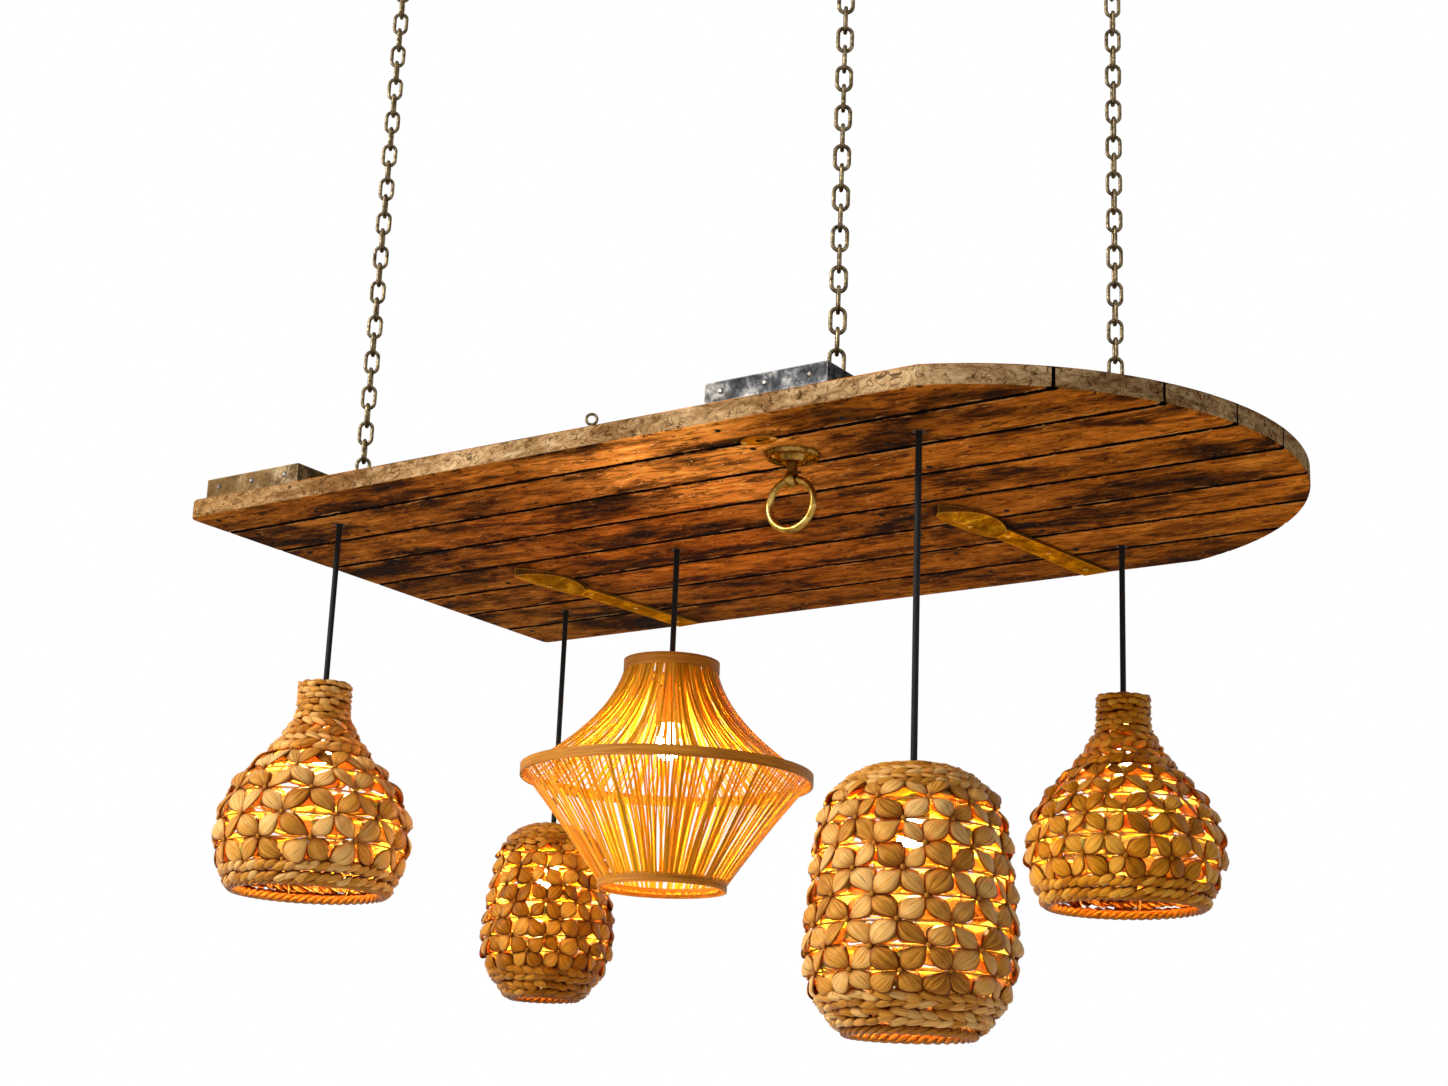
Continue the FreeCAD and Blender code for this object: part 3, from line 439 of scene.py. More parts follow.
def plank_wood(name, seed, pale, low_y, high_y):
    """Old plank: a stained face with painted warm light, worn edges, black joints at low_y and high_y,
    painted shade round its fittings.
    """
    material, tree, shader = new_material(name)
    place = rest_place(tree)
    x, y, _ = split(tree, place)
    shift = (seed * 3.7, seed * 1.3, seed * 2.1)
    cloud = streaks(tree, place, (4.5, 9, 9), 4, 0.55, 0.6, shift)
    dash = streaks(tree, place, (12, 42, 42), 6, 0.64, 1.2, shift)
    fibre = streaks(tree, place, (40, 420, 420), 3, 0.6, 0.2, shift)
    scratch = streaks(tree, place, (30, 30, 55), 6, 0.66, 1.8, shift)
    wander = streaks(tree, place, (40, 8, 8), 6, 0.72, 0.0, shift)
    grain = weighted(tree, (dash, 0.52), (fibre, 0.10), (cloud, 0.38))
    to_arch = maths(tree, "ADD", maths(tree, "MULTIPLY", x, warm_rate), 0.5, clamp=True)

    face = plank_face(tree, place, seed, shift, grain, cloud)
    face = multiplied(tree, face, (pale, pale, pale))
    # Painted warm light, stronger towards the arched end
    face = mix(tree, to_arch, face, painted_glow_end, "MULTIPLY")
    # Painted pool of warm light beside the ring pull
    face = mix(tree, by_lit_patch(tree, place), face, lit_patch_gain, "MULTIPLY")
    joint = maths(tree, "MINIMUM", maths(tree, "SUBTRACT", y, low_y), maths(tree, "SUBTRACT", high_y, y))
    seam = maths(tree, "MULTIPLY", joint, centimetres)
    ragged_seam = weighted(tree, (seam, 1.0), (from_half(tree, wander), 1.3))
    chipped = maths(tree, "MULTIPLY", ramp(tree, ragged_seam, (0.55, 1.0), (1.0, 0.0)),
                    ramp(tree, dash, (0.52, 0.0), (0.58, 1.0)))
    face = mix(tree, chipped, face, (0.62, 0.29, 0.085))

    _, _, up = split(tree, add(tree, "ShaderNodeTexCoord").outputs["Normal"])
    flat = maths(tree, "ABSOLUTE", up)
    ragged_flat = weighted(tree, (flat, 1.0), (from_half(tree, scratch), 0.6))
    edge = plank_edge(tree, place, shift, scratch, cloud, to_arch)
    colour = mix(tree, ramp(tree, ragged_flat, (0.45, 1.0), (0.60, 0.0)), face, edge)

    face_dirt = ramp(tree, ragged_seam, (0.34, 1.0), (0.52, 0.0))
    edge_dirt = ramp(tree, seam, (0.01, 1.0), (0.04, 0.0))
    dirt_and_shade = mix(tree, ramp(tree, flat, (0.25, 1.0), (0.40, 0.0)), face_dirt, edge_dirt)
    # Painted shade round the fittings, where other surfaces are near
    fitting_shade = ramp(tree, openness(tree, fitting_shade_reach), (0.66, 0.95), (0.90, 0.0))
    dirt_and_shade = maths(tree, "MAXIMUM", dirt_and_shade, fitting_shade)
    tree.links.new(mix(tree, dirt_and_shade, colour, dirt_and_shade_colour), shader.inputs["Base Color"])
    feed(tree, shader.inputs["Roughness"], ramp(tree, grain, (0.38, 0.66), (0.62, 0.88)))
    shader.inputs["Specular IOR Level"].default_value = 0.01
    bump(tree, shader, weighted(tree, (grain, 1.0), (scratch, 0.5)), 0.6, 0.005)
    return material


def metal(name, dark, middle, light, rough, scale, tint=None, painted_edge=0.0, rim=None):
    """Aged metal, dark to light in clouds, with stains of a tint if given, and, if an edge width is given, a
    painted line along its edges: a painted highlight in the light colour, painted shade where a dark rim
    colour is given.
    """
    material, tree, shader = new_material(name)
    place = rest_place(tree)
    cloud = noise(tree, place, scale, 6, 0.62, 0.4)
    speck = noise(tree, place, scale * 6, 4, 0.6)
    level = weighted(tree, (cloud, 0.7), (speck, 0.3))
    colour = ramp(tree, level, (0.36, dark), (0.50, middle), (0.64, light))
    if tint:
        stain = ramp(tree, noise(tree, place, scale * 0.3, 4), (0.45, 0.0), (0.66, 0.8))
        colour = mix(tree, stain, colour, tint)
    if painted_edge:
        # Painted line along the edges: a highlight in the light colour, shade in a dark rim colour
        colour = mix(tree, maths(tree, "MULTIPLY", by_edges(tree, painted_edge), 0.85), colour, rim or light)
    tree.links.new(colour, shader.inputs["Base Color"])
    shader.inputs["Metallic"].default_value = 1.0
    shader.inputs["Specular Tint"].default_value = (*light, 1.0)
    feed(tree, shader.inputs["Roughness"], ramp(tree, level, (0.36, rough + 0.2), (0.64, rough)))
    bump(tree, shader, level, 0.25, 0.0012)
    return material


def plastic(name, colour, rough):
    """Moulded plastic with a faint texture."""
    material, tree, shader = new_material(name)
    speck = noise(tree, rest_place(tree), 900, 3)
    dim = tuple(0.8 * c for c in colour)
    tree.links.new(ramp(tree, speck, (0.35, dim), (0.65, colour)), shader.inputs["Base Color"])
    shader.inputs["Roughness"].default_value = rough
    bump(tree, shader, speck, 0.15, 0.0004)
    return material


def plain_wood(name, dark, light, scales):
    """Sawn wood or split bamboo with a fine grain."""
    material, tree, shader = new_material(name)
    grain = streaks(tree, rest_place(tree), scales, 7, 0.62, 0.3)
    tree.links.new(ramp(tree, grain, (0.34, dark), (0.66, light)), shader.inputs["Base Color"])
    shader.inputs["Roughness"].default_value = 0.55
    shader.inputs["Specular IOR Level"].default_value = 0.20
    bump(tree, shader, grain, 0.3, 0.0008)
    return material


def splint_bamboo():
    """Split bamboo that lets some light through: each splint with a tone of its own."""
    material, tree, shader = new_material("splint_bamboo")
    tone = marked(tree, "tone", "Fac")
    grain = streaks(tree, rest_place(tree), (220, 220, 24), 4, 0.6)
    level = weighted(tree, (tone, 0.6), (grain, 0.4))
    colour = ramp(tree, level, (0.15, (0.50, 0.165, 0.003)), (0.5, (0.76, 0.305, 0.010)),
                  (0.85, (0.94, 0.46, 0.045)))
    tree.links.new(colour, shader.inputs["Base Color"])
    shader.inputs["Roughness"].default_value = 0.45
    shader.inputs["Specular IOR Level"].default_value = 0.20
    shader.inputs["Specular Tint"].default_value = (1.0, 0.60, 0.15, 1.0)
    shader.inputs["Subsurface Weight"].default_value = 0.35
    shader.inputs["Subsurface Radius"].default_value = (1.0, 0.90, 0.40)
    shader.inputs["Subsurface Scale"].default_value = 0.003
    bump(tree, shader, grain, 0.25, 0.0006)
    return material


def leaf_fibre(name, dark, middle, light, lets_through=0.03, shaded_creases=True):
    """Dried leaf: streaked, with a tone of its own, with painted shade at its ends and along its rims, and,
    if asked, painted shade in its creases where other surfaces are near.
    """
    material, tree, shader = new_material(name)
    leaf = marked(tree, "leaf", "Vector")
    along, across, _ = split(tree, leaf)
    streak = streaks(tree, leaf, (1.3, 7.5, 7.3), 5, 0.62, 0.25)
    level = weighted(tree, (streak, 0.68), (marked(tree, "tone", "Fac"), 0.32))
    colour = ramp(tree, level, (0.26, dark), (0.46, middle), (0.72, light))
    vein = streaks(tree, leaf, (0.7, 14, 7.3), 2, 0.5, 0.15)
    colour = mix(tree, ramp(tree, vein, (0.55, 0.0), (0.66, 0.75)), colour, dark)
    # Painted shade towards each leaf's ends, where it tucks under the knots, and along its rims, where leaves
    # overlap
    end_shade = maths(tree, "ABSOLUTE", from_half(tree, along))
    colour = multiplied(tree, colour, ramp(tree, end_shade, (0.24, 1.0), (0.47, (0.38, 0.14, 0.02))))
    rim_shade = maths(tree, "ABSOLUTE", across)
    colour = multiplied(tree, colour, ramp(tree, rim_shade, (0.70, 1.0), (0.97, (0.42, 0.17, 0.03))))
    # Painted shade in the creases, where other surfaces are near
    if shaded_creases:
        crease_shade = ramp(tree, openness(tree, crease_shade_reach), (0.30, (0.36, 0.17, 0.05)), (0.82, 1.0))
        colour = multiplied(tree, colour, crease_shade)
    tree.links.new(colour, shader.inputs["Base Color"])
    shader.inputs["Roughness"].default_value = 0.42
    shader.inputs["Specular IOR Level"].default_value = 0.30
    shader.inputs["Specular Tint"].default_value = (1.0, 0.55, 0.12, 1.0)
    shader.inputs["Subsurface Weight"].default_value = lets_through
    shader.inputs["Subsurface Radius"].default_value = (1.0, 0.75, 0.30)
    shader.inputs["Subsurface Scale"].default_value = 0.006
    bump(tree, shader, streak, 0.45, 0.0015)
    return material


def glowing_glass(name, strength):
    """Lit bulb of warm glass."""
    material, tree, shader = new_material(name)
    soft = noise(tree, rest_place(tree), 30, 2)
    colour = ramp(tree, soft, (0.3, (1.0, 0.80, 0.52)), (0.7, (1.0, 0.86, 0.60)))
    tree.links.new(colour, shader.inputs["Base Color"])
    shader.inputs["Roughness"].default_value = 0.3
    shader.inputs["Emission Color"].default_value = bulb_colour
    shader.inputs["Emission Strength"].default_value = strength
    return material


def cord_cover():
    """Black braided cord cover with a slight sheen."""
    material, tree, shader = new_material("cord_cover")
    weave = streaks(tree, rest_place(tree), (700, 700, 260), 3, 0.5, 0.2)
    colour = ramp(tree, weave, (0.35, (0.004, 0.004, 0.004)), (0.7, (0.020, 0.019, 0.018)))
    tree.links.new(colour, shader.inputs["Base Color"])
    shader.inputs["Roughness"].default_value = 0.60
    shader.inputs["Specular IOR Level"].default_value = 0.15
    bump(tree, shader, weave, 0.4, 0.0005)
    return material


def floor_white():
    """Pale floor that reads as the white background and keeps a soft shadow."""
    material, tree, shader = new_material("floor_white")
    shader.inputs["Base Color"].default_value = (0.86, 0.86, 0.86, 1.0)
    shader.inputs["Roughness"].default_value = 0.9
    glow = add(tree, "ShaderNodeEmission")
    glow.inputs["Strength"].default_value = white_level
    blend = add(tree, "ShaderNodeMixShader")
    feed(tree, blend.inputs[0], maths(tree, "MULTIPLY", in_view(tree), floor_glow))
    tree.links.new(shader.outputs[0], blend.inputs[1])
    tree.links.new(glow.outputs[0], blend.inputs[2])
    tree.links.new(blend.outputs[0], tree.nodes["Material Output"].inputs["Surface"])
    return material


def set_world():
    """White where it is seen or mirrored, a plain soft light otherwise."""
    world = bpy.data.worlds.new("world")
    world.use_nodes = True
    tree = world.node_tree
    added = maths(tree, "MULTIPLY", in_view(tree), white_level - ambient_level)
    background = tree.nodes["Background"]
    background.inputs["Color"].default_value = (1.0, 1.0, 1.0, 1.0)
    tree.links.new(maths(tree, "ADD", ambient_level, added), background.inputs["Strength"])
    scene.world = world


# Mesh helpers


def add_piece(name, points, faces, material, body, slot, smooth=True):
    """Mesh piece with a material, which rides a body; the slot argument is not used."""
    mesh = bpy.data.meshes.new(name)
    mesh.from_pydata([tuple(p) for p in points], [], [tuple(f) for f in faces])
    mesh.materials.append(material)
    if smooth:
        mesh.shade_smooth()
    mesh.update()
    piece = bpy.data.objects.new(name, mesh)
    scene.collection.objects.link(piece)
    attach(piece, body)
    return piece


def mark(piece, name, kind, values):
    """Per-point values for the material to read."""
    layer = piece.data.attributes.new(name, kind, "POINT")
    field = "vector" if kind == "FLOAT_VECTOR" else "value"
    layer.data.foreach_set(field, np.asarray(values, np.float32).ravel())


def joined(parts):
    """One list of points and faces from several."""
    points, faces, start = [], [], 0
    for some_points, some_faces in parts:
        points.append(some_points)
        faces += [tuple(i + start for i in face) for face in some_faces]
        start += len(some_points)
    return np.concatenate(points), faces


def around(count):
    """Angles of evenly spaced places round a circle."""
    return np.arange(count) * full_turn / count


def ring_faces(rings, sides, closed=False):
    """Faces between rings of points laid one after another, with a cap at each end unless closed."""
    faces = []
    for i in range(rings if closed else rings - 1):
        j = (i + 1) % rings
        for k in range(sides):
            m = (k + 1) % sides
            faces.append((i * sides + k, i * sides + m, j * sides + m, j * sides + k))
    if not closed:
        faces.append(tuple(reversed(range(sides))))
        faces.append(tuple(range((rings - 1) * sides, rings * sides)))
    return faces


def tube(path, radius, sides, closed=False):
    """Round wire along a path of points."""
    if closed:
        along = np.roll(path, -1, 0) - np.roll(path, 1, 0)
    else:
        along = np.gradient(path, axis=0)
    along /= np.linalg.norm(along, axis=1)[:, None]
    level = abs(along[:, 2]).mean() < 0.8
    guide = np.array((0.0, 0.0, 1.0)) if level else np.array((1.0, 0.0, 0.0))
    side = np.cross(along, guide)
    side /= np.linalg.norm(side, axis=1)[:, None]
    other = np.cross(along, side)
    turn = around(sides)
    rings = (path[:, None] + radius * (side[:, None] * np.cos(turn)[None, :, None]
                                       + other[:, None] * np.sin(turn)[None, :, None]))
    return rings.reshape(-1, 3), ring_faces(len(path), sides, closed)


# Woven shades


class Side:
    """Outer side of a shade's shell: radius and height along its outline from crown to mouth."""

    step = 0.002
    eased_steps = 9
    least_outward = 0.05
    least_upward = 0.9
    top_touch = 1e-4
    digits = 5

    def __init__(self, node):
        low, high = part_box(node)
        self.x = (low.x + high.x) / 2
        self.y = (low.y + high.y) / 2
        self.top = high.z
        outline = np.array(sorted(self.outer_points(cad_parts[node].data)))
        height, radius = -outline[:, 0], outline[:, 1]
        run = np.concatenate(([0], np.cumsum(np.hypot(np.diff(radius), np.diff(height)))))
        self.run = np.arange(0, run[-1], self.step)
        self.radius = np.interp(self.run, run, radius)
        self.height = np.interp(self.run, run, height)
        out = self.eased(np.gradient(self.radius, self.run))
        down = self.eased(np.gradient(self.height, self.run))
        length = np.hypot(out, down)
        self.normal_out = -down / length
        self.normal_up = out / length

    def outer_points(self, mesh):
        """Depths and radii of the points on the shell's outer faces and flat top."""
        found = set()
        for polygon in mesh.polygons:
            away = Vector((polygon.center.x - self.x, polygon.center.y - self.y))
            outward = (polygon.normal.x * away.x + polygon.normal.y * away.y) / away.length
            on_top = polygon.normal.z > self.least_upward and self.top - polygon.center.z < self.top_touch
            if outward > self.least_outward or on_top:
                for index in polygon.vertices:
                    point = mesh.vertices[index].co
                    radius = math.hypot(point.x - self.x, point.y - self.y)
                    found.add((-round(point.z, self.digits), round(radius, self.digits)))
        return found

    def eased(self, values):
        """Values averaged with their neighbours."""
        padded = np.pad(values, self.eased_steps // 2, mode="edge")
        return np.convolve(padded, np.ones(self.eased_steps) / self.eased_steps, "valid")

    def at_drop(self, drop):
        """Run along the outline at a drop below the crown."""
        return np.interp(drop, self.top - self.height, self.run)

    def reach(self, run):
        """Radius at a run."""
        return np.interp(run, self.run, self.radius)

    def point(self, run, angle, stand):
        """Points at a run and an angle, standing proud of the shell."""
        radius = self.reach(run) + stand * np.interp(run, self.run, self.normal_out)
        height = np.interp(run, self.run, self.height) + stand * np.interp(run, self.run, self.normal_up)
        return np.stack((self.x + radius * np.cos(angle), self.y + radius * np.sin(angle), height), -1)


def leaf_faces():
    """Faces of one leaf: a front grid, and a back grid that shares its rim."""
    backs = {}
    for i in range(leaf_rows):
        for j in range(leaf_columns):
            rim = i in (0, leaf_rows - 1) or j in (0, leaf_columns - 1)
            inner = leaf_rows * leaf_columns + (i - 1) * (leaf_columns - 2) + j - 1
            backs[i, j] = i * leaf_columns + j if rim else inner
    faces = []
    for i in range(leaf_rows - 1):
        for j in range(leaf_columns - 1):
            corners = ((i, j), (i, j + 1), (i + 1, j + 1), (i + 1, j))
            faces.append(tuple(a * leaf_columns + b for a, b in corners))
            back = tuple(backs[c] for c in reversed(corners))
            if set(back) != set(faces[-1]):
                faces.append(back)
    return np.array(faces)


def leaves(side, start, end, width, swell, lift, roll, blunt, seat=leaf_seat, square=3.4):
    """Swelling leaves between (run, angle) places; returns points, faces, places on the leaf and tones.

    A low blunt rounds the tips of the leaves, and a high square flattens their backs.
    """
    count = len(start)

    def column(values):
        return np.broadcast_to(np.asarray(values, float), (count,))[:, None, None]

    u = np.linspace(0, 1, leaf_rows)[None, :, None]
    v = np.linspace(-1, 1, leaf_columns)[None, None, :]
    down = column(end[:, 0] - start[:, 0])
    turn = column(end[:, 1] - start[:, 1])
    across = turn * column(side.reach((start[:, 0] + end[:, 0]) / 2))
    length = np.hypot(down, across)
    skew = column(rng.uniform(*leaf_skew, count))
    fullness = np.sin(math.pi * np.clip(u, 0.0, 1.0) ** skew) ** blunt
    half = column(width) / 2 * np.maximum(fullness, leaf_tip)
    run = column(start[:, 0]) + down * u
    angle = column(start[:, 1]) + turn * u
    bow = column(rng.uniform(-leaf_bow, leaf_bow, count)) * length * np.sin(math.pi * u)
    offset = v * half + bow
    run = run + offset * across / length
    angle = angle - offset * down / length / side.reach(run)
    ridges = np.cos(column(rng.uniform(0, full_turn, count)) + v * column(rng.uniform(*ridge_waves, count)))
    arch = (1 - np.abs(v) ** square) * fullness
    stand = (seat + column(lift) * fullness + column(swell) * arch
             + column(roll) * v * fullness + leaf_ridge * ridges * fullness)
    front = side.point(run, angle, stand)
    thickness = leaf_thickness * np.sqrt(np.maximum(1 - v ** 2, 0)) * np.sqrt(np.maximum(fullness, 0))
    back = side.point(run, angle, stand - thickness)[:, 1:-1, 1:-1]
    points = np.concatenate((front.reshape(count, -1, 3), back.reshape(count, -1, 3)), 1)
    size = points.shape[1]
    faces = (leaf_faces()[None] + np.arange(count)[:, None, None] * size).reshape(-1, 4)
    number = column(rng.uniform(0, leaf_patterns, count))
    place = np.stack(np.broadcast_arrays(u, v, number), -1)
    inner = place[:, 1:-1, 1:-1]
    place = np.concatenate((place.reshape(count, -1, 3), inner.reshape(count, -1, 3)), 1)
    tone = np.repeat(rng.uniform(0, 1, count), size)
    return points.reshape(-1, 3), [tuple(f) for f in faces.tolist()], place.reshape(-1, 3), tone


def lattice(side, lines, count, phase, slim):
    """Rows of leaves zigzagging between lines of knots; returns the leaves and the knots' places."""
    scatter = rng.uniform(-knot_scatter, knot_scatter, (len(lines), count))
    runs = side.at_drop(np.asarray(lines))[:, None] + scatter
    shift = np.arange(len(lines))[:, None] % 2 / 2
    angles = (np.arange(count)[None] + shift) * full_turn / count + phase
    angles = angles + rng.uniform(-knot_drift, knot_drift, angles.shape) * full_turn / count
    start, end, lift, roll = [], [], [], []
    for row in range(len(lines) - 1):
        for k in range(count):
            first = k + row % 2 - 1
            for lean, other in enumerate((first, first + 1)):
                wrap = full_turn * math.floor(other / count)
                start.append((runs[row, k], angles[row, k]))
                end.append((runs[row + 1, other % count], angles[row + 1, other % count] + wrap))
                lift.append(leaf_over if lean == row % 2 else leaf_under)
                roll.append(leaf_roll if lean else -leaf_roll)
    start, end = np.array(start), np.array(end)
    across = (end[:, 1] - start[:, 1]) * side.reach((start[:, 0] + end[:, 0]) / 2)
    length = np.hypot(end[:, 0] - start[:, 0], across)
    width = np.clip(length * slim, leaf_narrowest, leaf_widest) * rng.uniform(*leaf_width, len(length))
    made = leaves(side, start, end, width, swell=width * leaf_swell, lift=lift, roll=roll, blunt=leaf_blunt)
    return made, list(zip(runs.ravel(), angles.ravel()))


def backing(side, lines):
    """Flat thin leaves laid round behind the middle of every row of the lattice."""
    parts = []
    runs = side.at_drop(np.asarray(lines))
    for row, (upper, lower) in enumerate(zip(runs, runs[1:])):
        run, height = (upper + lower) / 2, lower - upper
        count = max(lining_fewest, round(full_turn * side.reach(run) / lining_pitch))
        scatter = rng.uniform(-lining_scatter, lining_scatter, count)
        angle = (np.arange(count) + scatter) * full_turn / count
        half = lining_overlap * full_turn / count
        lean = lining_lean * height * (1 if row % 2 else -1)
        start = np.stack((np.full(count, run - lean), angle - half), -1)
        end = np.stack((np.full(count, run + lean), angle + half), -1)
        width = height * rng.uniform(*lining_width, count)
        parts.append(leaves(side, start, end, width, swell=lining_swell, lift=lining_lift, roll=lining_roll,
                            blunt=lining_blunt, seat=lining_seat))
    return parts


def braid(side, row, phase):
    """Tight row of overlapping leaves laid round a shade like a rope."""
    count = max(braid_fewest, round(full_turn * side.reach(row.run) / row.pitch))
    scatter = rng.uniform(-braid_scatter, braid_scatter, count)
    angle = (np.arange(count) + phase) * full_turn / count + scatter * full_turn / count
    half = row.overlap * full_turn / count
    rise = row.lean * row.height * braid_rise
    runs = row.run + rng.uniform(-braid_drift, braid_drift, count) * row.height
    start = np.stack((runs - rise, angle - half), -1)
    end = np.stack((runs + rise, angle + half), -1)
    width = row.height * row.fat * rng.uniform(*braid_width, count)
    return leaves(side, start, end, width, swell=row.height * braid_swell, lift=braid_lift,
                  roll=braid_roll * row.lean, blunt=braid_blunt, square=braid_square)


def mouth_rope(side):
    """Rope of twisted strands round the mouth of a shade; returns parts like those of leaves()."""
    reach = side.radius[-1] - rope_inset
    angle = around(rope_steps)
    lays = round(full_turn * reach / rope_lay)
    across = np.sin(around(rope_sides))
    parts = []
    for strand in range(rope_strands):
        twist = angle * lays + strand * full_turn / rope_strands
        radius = reach + rope_strand * rope_winding * np.cos(twist)
        height = side.height[-1] + rope_rise + rope_strand * rope_winding * np.sin(twist)
        path = np.stack((side.x + radius * np.cos(angle), side.y + radius * np.sin(angle), height), -1)
        points, faces = tube(path, rope_strand, rope_sides, closed=True)
        # Painted shade of the leaf ends on the strands, varying as they twist
        along = rope_shade_place + rope_shade_swing * np.sin(twist)
        place = np.stack(np.broadcast_arrays(along[:, None], across[None], strand * rope_pattern_step), -1)
        parts.append((points, faces, place.reshape(-1, 3), np.full(len(points), rope_tone)))
    return parts


def knots(side, places):
    """Small twists of fibre where leaves meet; returns a part like those of leaves()."""
    parts = []
    turn = around(knot_sides)
    for run, angle in places:
        reach = side.reach(run)
        rings = []
        for seat, size in knot_rings:
            ring_runs = run + size * knot_stretch * np.cos(turn)
            rings.append(side.point(ring_runs, angle + size * np.sin(turn) / reach, seat))
        parts.append((np.concatenate(rings), ring_faces(len(rings), knot_sides)))
    points, faces = joined(parts)
    return points, faces, np.full((len(points), 3), knot_place), np.full(len(points), knot_tone)


def wire_frame(side, lines):
    """Rings of wire behind the lines of knots and at the mouth, and upright ribs that hold them."""
    mouth = side.run[-1] - mouth_margin
    parts = []
    for run in (*side.at_drop(np.asarray(lines)), mouth):
        ring = side.point(np.full(ring_steps, run), around(ring_steps), ring_seat)
        parts.append(tube(ring, ring_wire, wire_sides, closed=True))
    runs = np.linspace(rib_top, mouth, rib_steps)
    for k in range(rib_count):
        angle = (k + rib_phase) * full_turn / rib_count
        parts.append(tube(side.point(runs, np.full(rib_steps, angle), rib_seat), rib_wire, wire_sides))
    return joined(parts)


def leaf_piece(name, parts, fibre, body):
    """Piece made of leaves, with their places and tones for the material to read."""
    piece = add_piece(name, *joined([part[:2] for part in parts]), fibre, body, "woven_fibre")
    mark(piece, "leaf", "FLOAT_VECTOR", np.concatenate([part[2] for part in parts]))
    mark(piece, "tone", "FLOAT", np.concatenate([part[3] for part in parts]))
    return piece


def weave_shade(name, lines, count, phase, slim, braids, fibre, lining, wire):
    """Woven shade in place of a shell: a lattice of leaves, braids, a mouth rope, a lining and a frame."""
    side = Side(f"{name}_shade")
    body = f"{name}_pendant"
    made, places = lattice(side, lines, count, phase, slim)
    behind = backing(side, lines)
    parts = [made] + mouth_rope(side)
    for number, row in enumerate(braids(side)):
        parts.append(braid(side, row, 0.5 * (number % 2)))
    parts.append(knots(side, places))
    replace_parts(leaf_piece(f"{name}_weave", parts, fibre, body), f"{name}_shade")
    leaf_piece(f"{name}_lining", behind, lining, body)
    add_piece(f"{name}_frame", *wire_frame(side, lines), wire, body, "screw_steel")


def bell_braids(side):
    """Braids of a bell: its flat top, neck, waist and two ropes round the mouth."""
    flat = side.radius.searchsorted(bell_flat_radius) * side.step
    rows = [Braid(flat * share, height=0.0125, pitch=0.024, lean=0.2, fat=1.1, overlap=0.68)
            for share in bell_flat_shares]
    rows += [Braid(side.at_drop(drop), height=0.0118, pitch=0.019, lean=0.15, fat=1.2, overlap=0.78)
             for drop in bell_neck]
    rows += [Braid(side.at_drop(drop), height=0.0185, pitch=0.021, lean=lean, fat=1.0, overlap=0.85)
             for drop, lean in bell_waist]
    rows += [Braid(side.at_drop(drop), height=0.0185, pitch=0.0175, lean=-1.0, fat=0.95, overlap=0.98)
             for drop in bell_ropes]
    return rows


def barrel_braids(side):
    """Braids of a barrel: its domed crown, and ropes drawn in round the mouth."""
    crown = side.at_drop(barrel_crown)
    steps = max(3, round(crown / barrel_crown_pitch))
    rows = [Braid((k + 0.9) * crown / steps, height=0.0145, pitch=0.020, lean=0.9 if k % 2 else -0.9,
                  fat=1.1, overlap=0.85) for k in range(steps)]
    foot = side.at_drop(side.top - side.height[-1] - barrel_foot)
    rows += [Braid(foot + k * barrel_foot_pitch, height=0.0185, pitch=0.021, lean=-0.8 if k % 2 else 0.8,
                   fat=1.05, overlap=0.9) for k in range(barrel_foot_rows)]
    return [row for row in rows if row.run < side.run[-1] - barrel_margin]


# Bamboo shade


def splints(x, y, upper, lower, inset, count, width):
    """Tier of thin uneven splints between two (radius, height) rims, drawn in at the middle."""
    parts = []
    t = np.linspace(0, 1, splint_steps)
    corners = ((1, 0), (-1, 0), (-1, -1), (1, -1))
    for k in range(count):
        angle = (k + rng.uniform(-splint_scatter, splint_scatter)) * full_turn / count
        turn = rng.normal(0, splint_drift)
        stand = rng.uniform(*splint_stand)
        half = width * rng.uniform(*splint_width) / 2
        thick = rng.uniform(*splint_thickness)
        wave = rng.uniform(-splint_wave, splint_wave)
        radius = upper[0] + (lower[0] - upper[0]) * t - 4 * inset * t * (1 - t) + stand
        height = upper[1] + (lower[1] - upper[1]) * t
        line = angle + turn * np.sin(math.pi * t / 2) + wave * np.sin(full_turn * t)
        out = np.stack((np.cos(line), np.sin(line)), -1)
        aside = np.stack((-np.sin(line), np.cos(line)), -1)
        lines = []
        for sideways, inwards in corners:
            flat = out * (radius + inwards * thick)[:, None] + aside * sideways * half
            lines.append(np.stack((x + flat[:, 0], y + flat[:, 1], height), -1))
        parts.append((np.stack(lines, 1).reshape(-1, 3), ring_faces(splint_steps, len(corners))))
    return parts


def splint_tones(parts):
    """One random tone for all points of each splint."""
    return np.repeat(rng.uniform(0, 1, len(parts)), len(parts[0][0]))


def bamboo_tiers(material):
    """Two tiers of splints between the hoops, in place of the slats."""
    hoop_low, hoop_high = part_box("bamboo_hoops")
    up_low, up_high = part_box("bamboo_upper_slats")
    down_low, down_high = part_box("bamboo_lower_slats")
    x, y = (hoop_low.x + hoop_high.x) / 2, (hoop_low.y + hoop_high.y) / 2
    mid_radius = (up_high.x - up_low.x) / 2
    top_rim, bottom_rim = (top_radius, up_high.z), (bottom_radius, down_low.z)
    upper = splints(x, y, top_rim, (mid_radius, up_low.z), inset=0.034, count=270, width=0.0036)
    lower = splints(x, y, (mid_radius, down_high.z), bottom_rim, inset=0.004, count=215, width=0.0038)
    for tier, parts in (("upper", upper), ("lower", lower)):
        piece = add_piece(f"bamboo_{tier}_splints", *joined(parts), material, "bamboo_pendant", "bamboo",
                          smooth=False)
        mark(piece, "tone", "FLOAT", splint_tones(parts))
        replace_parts(piece, f"bamboo_{tier}_slats")


# Cords and floor


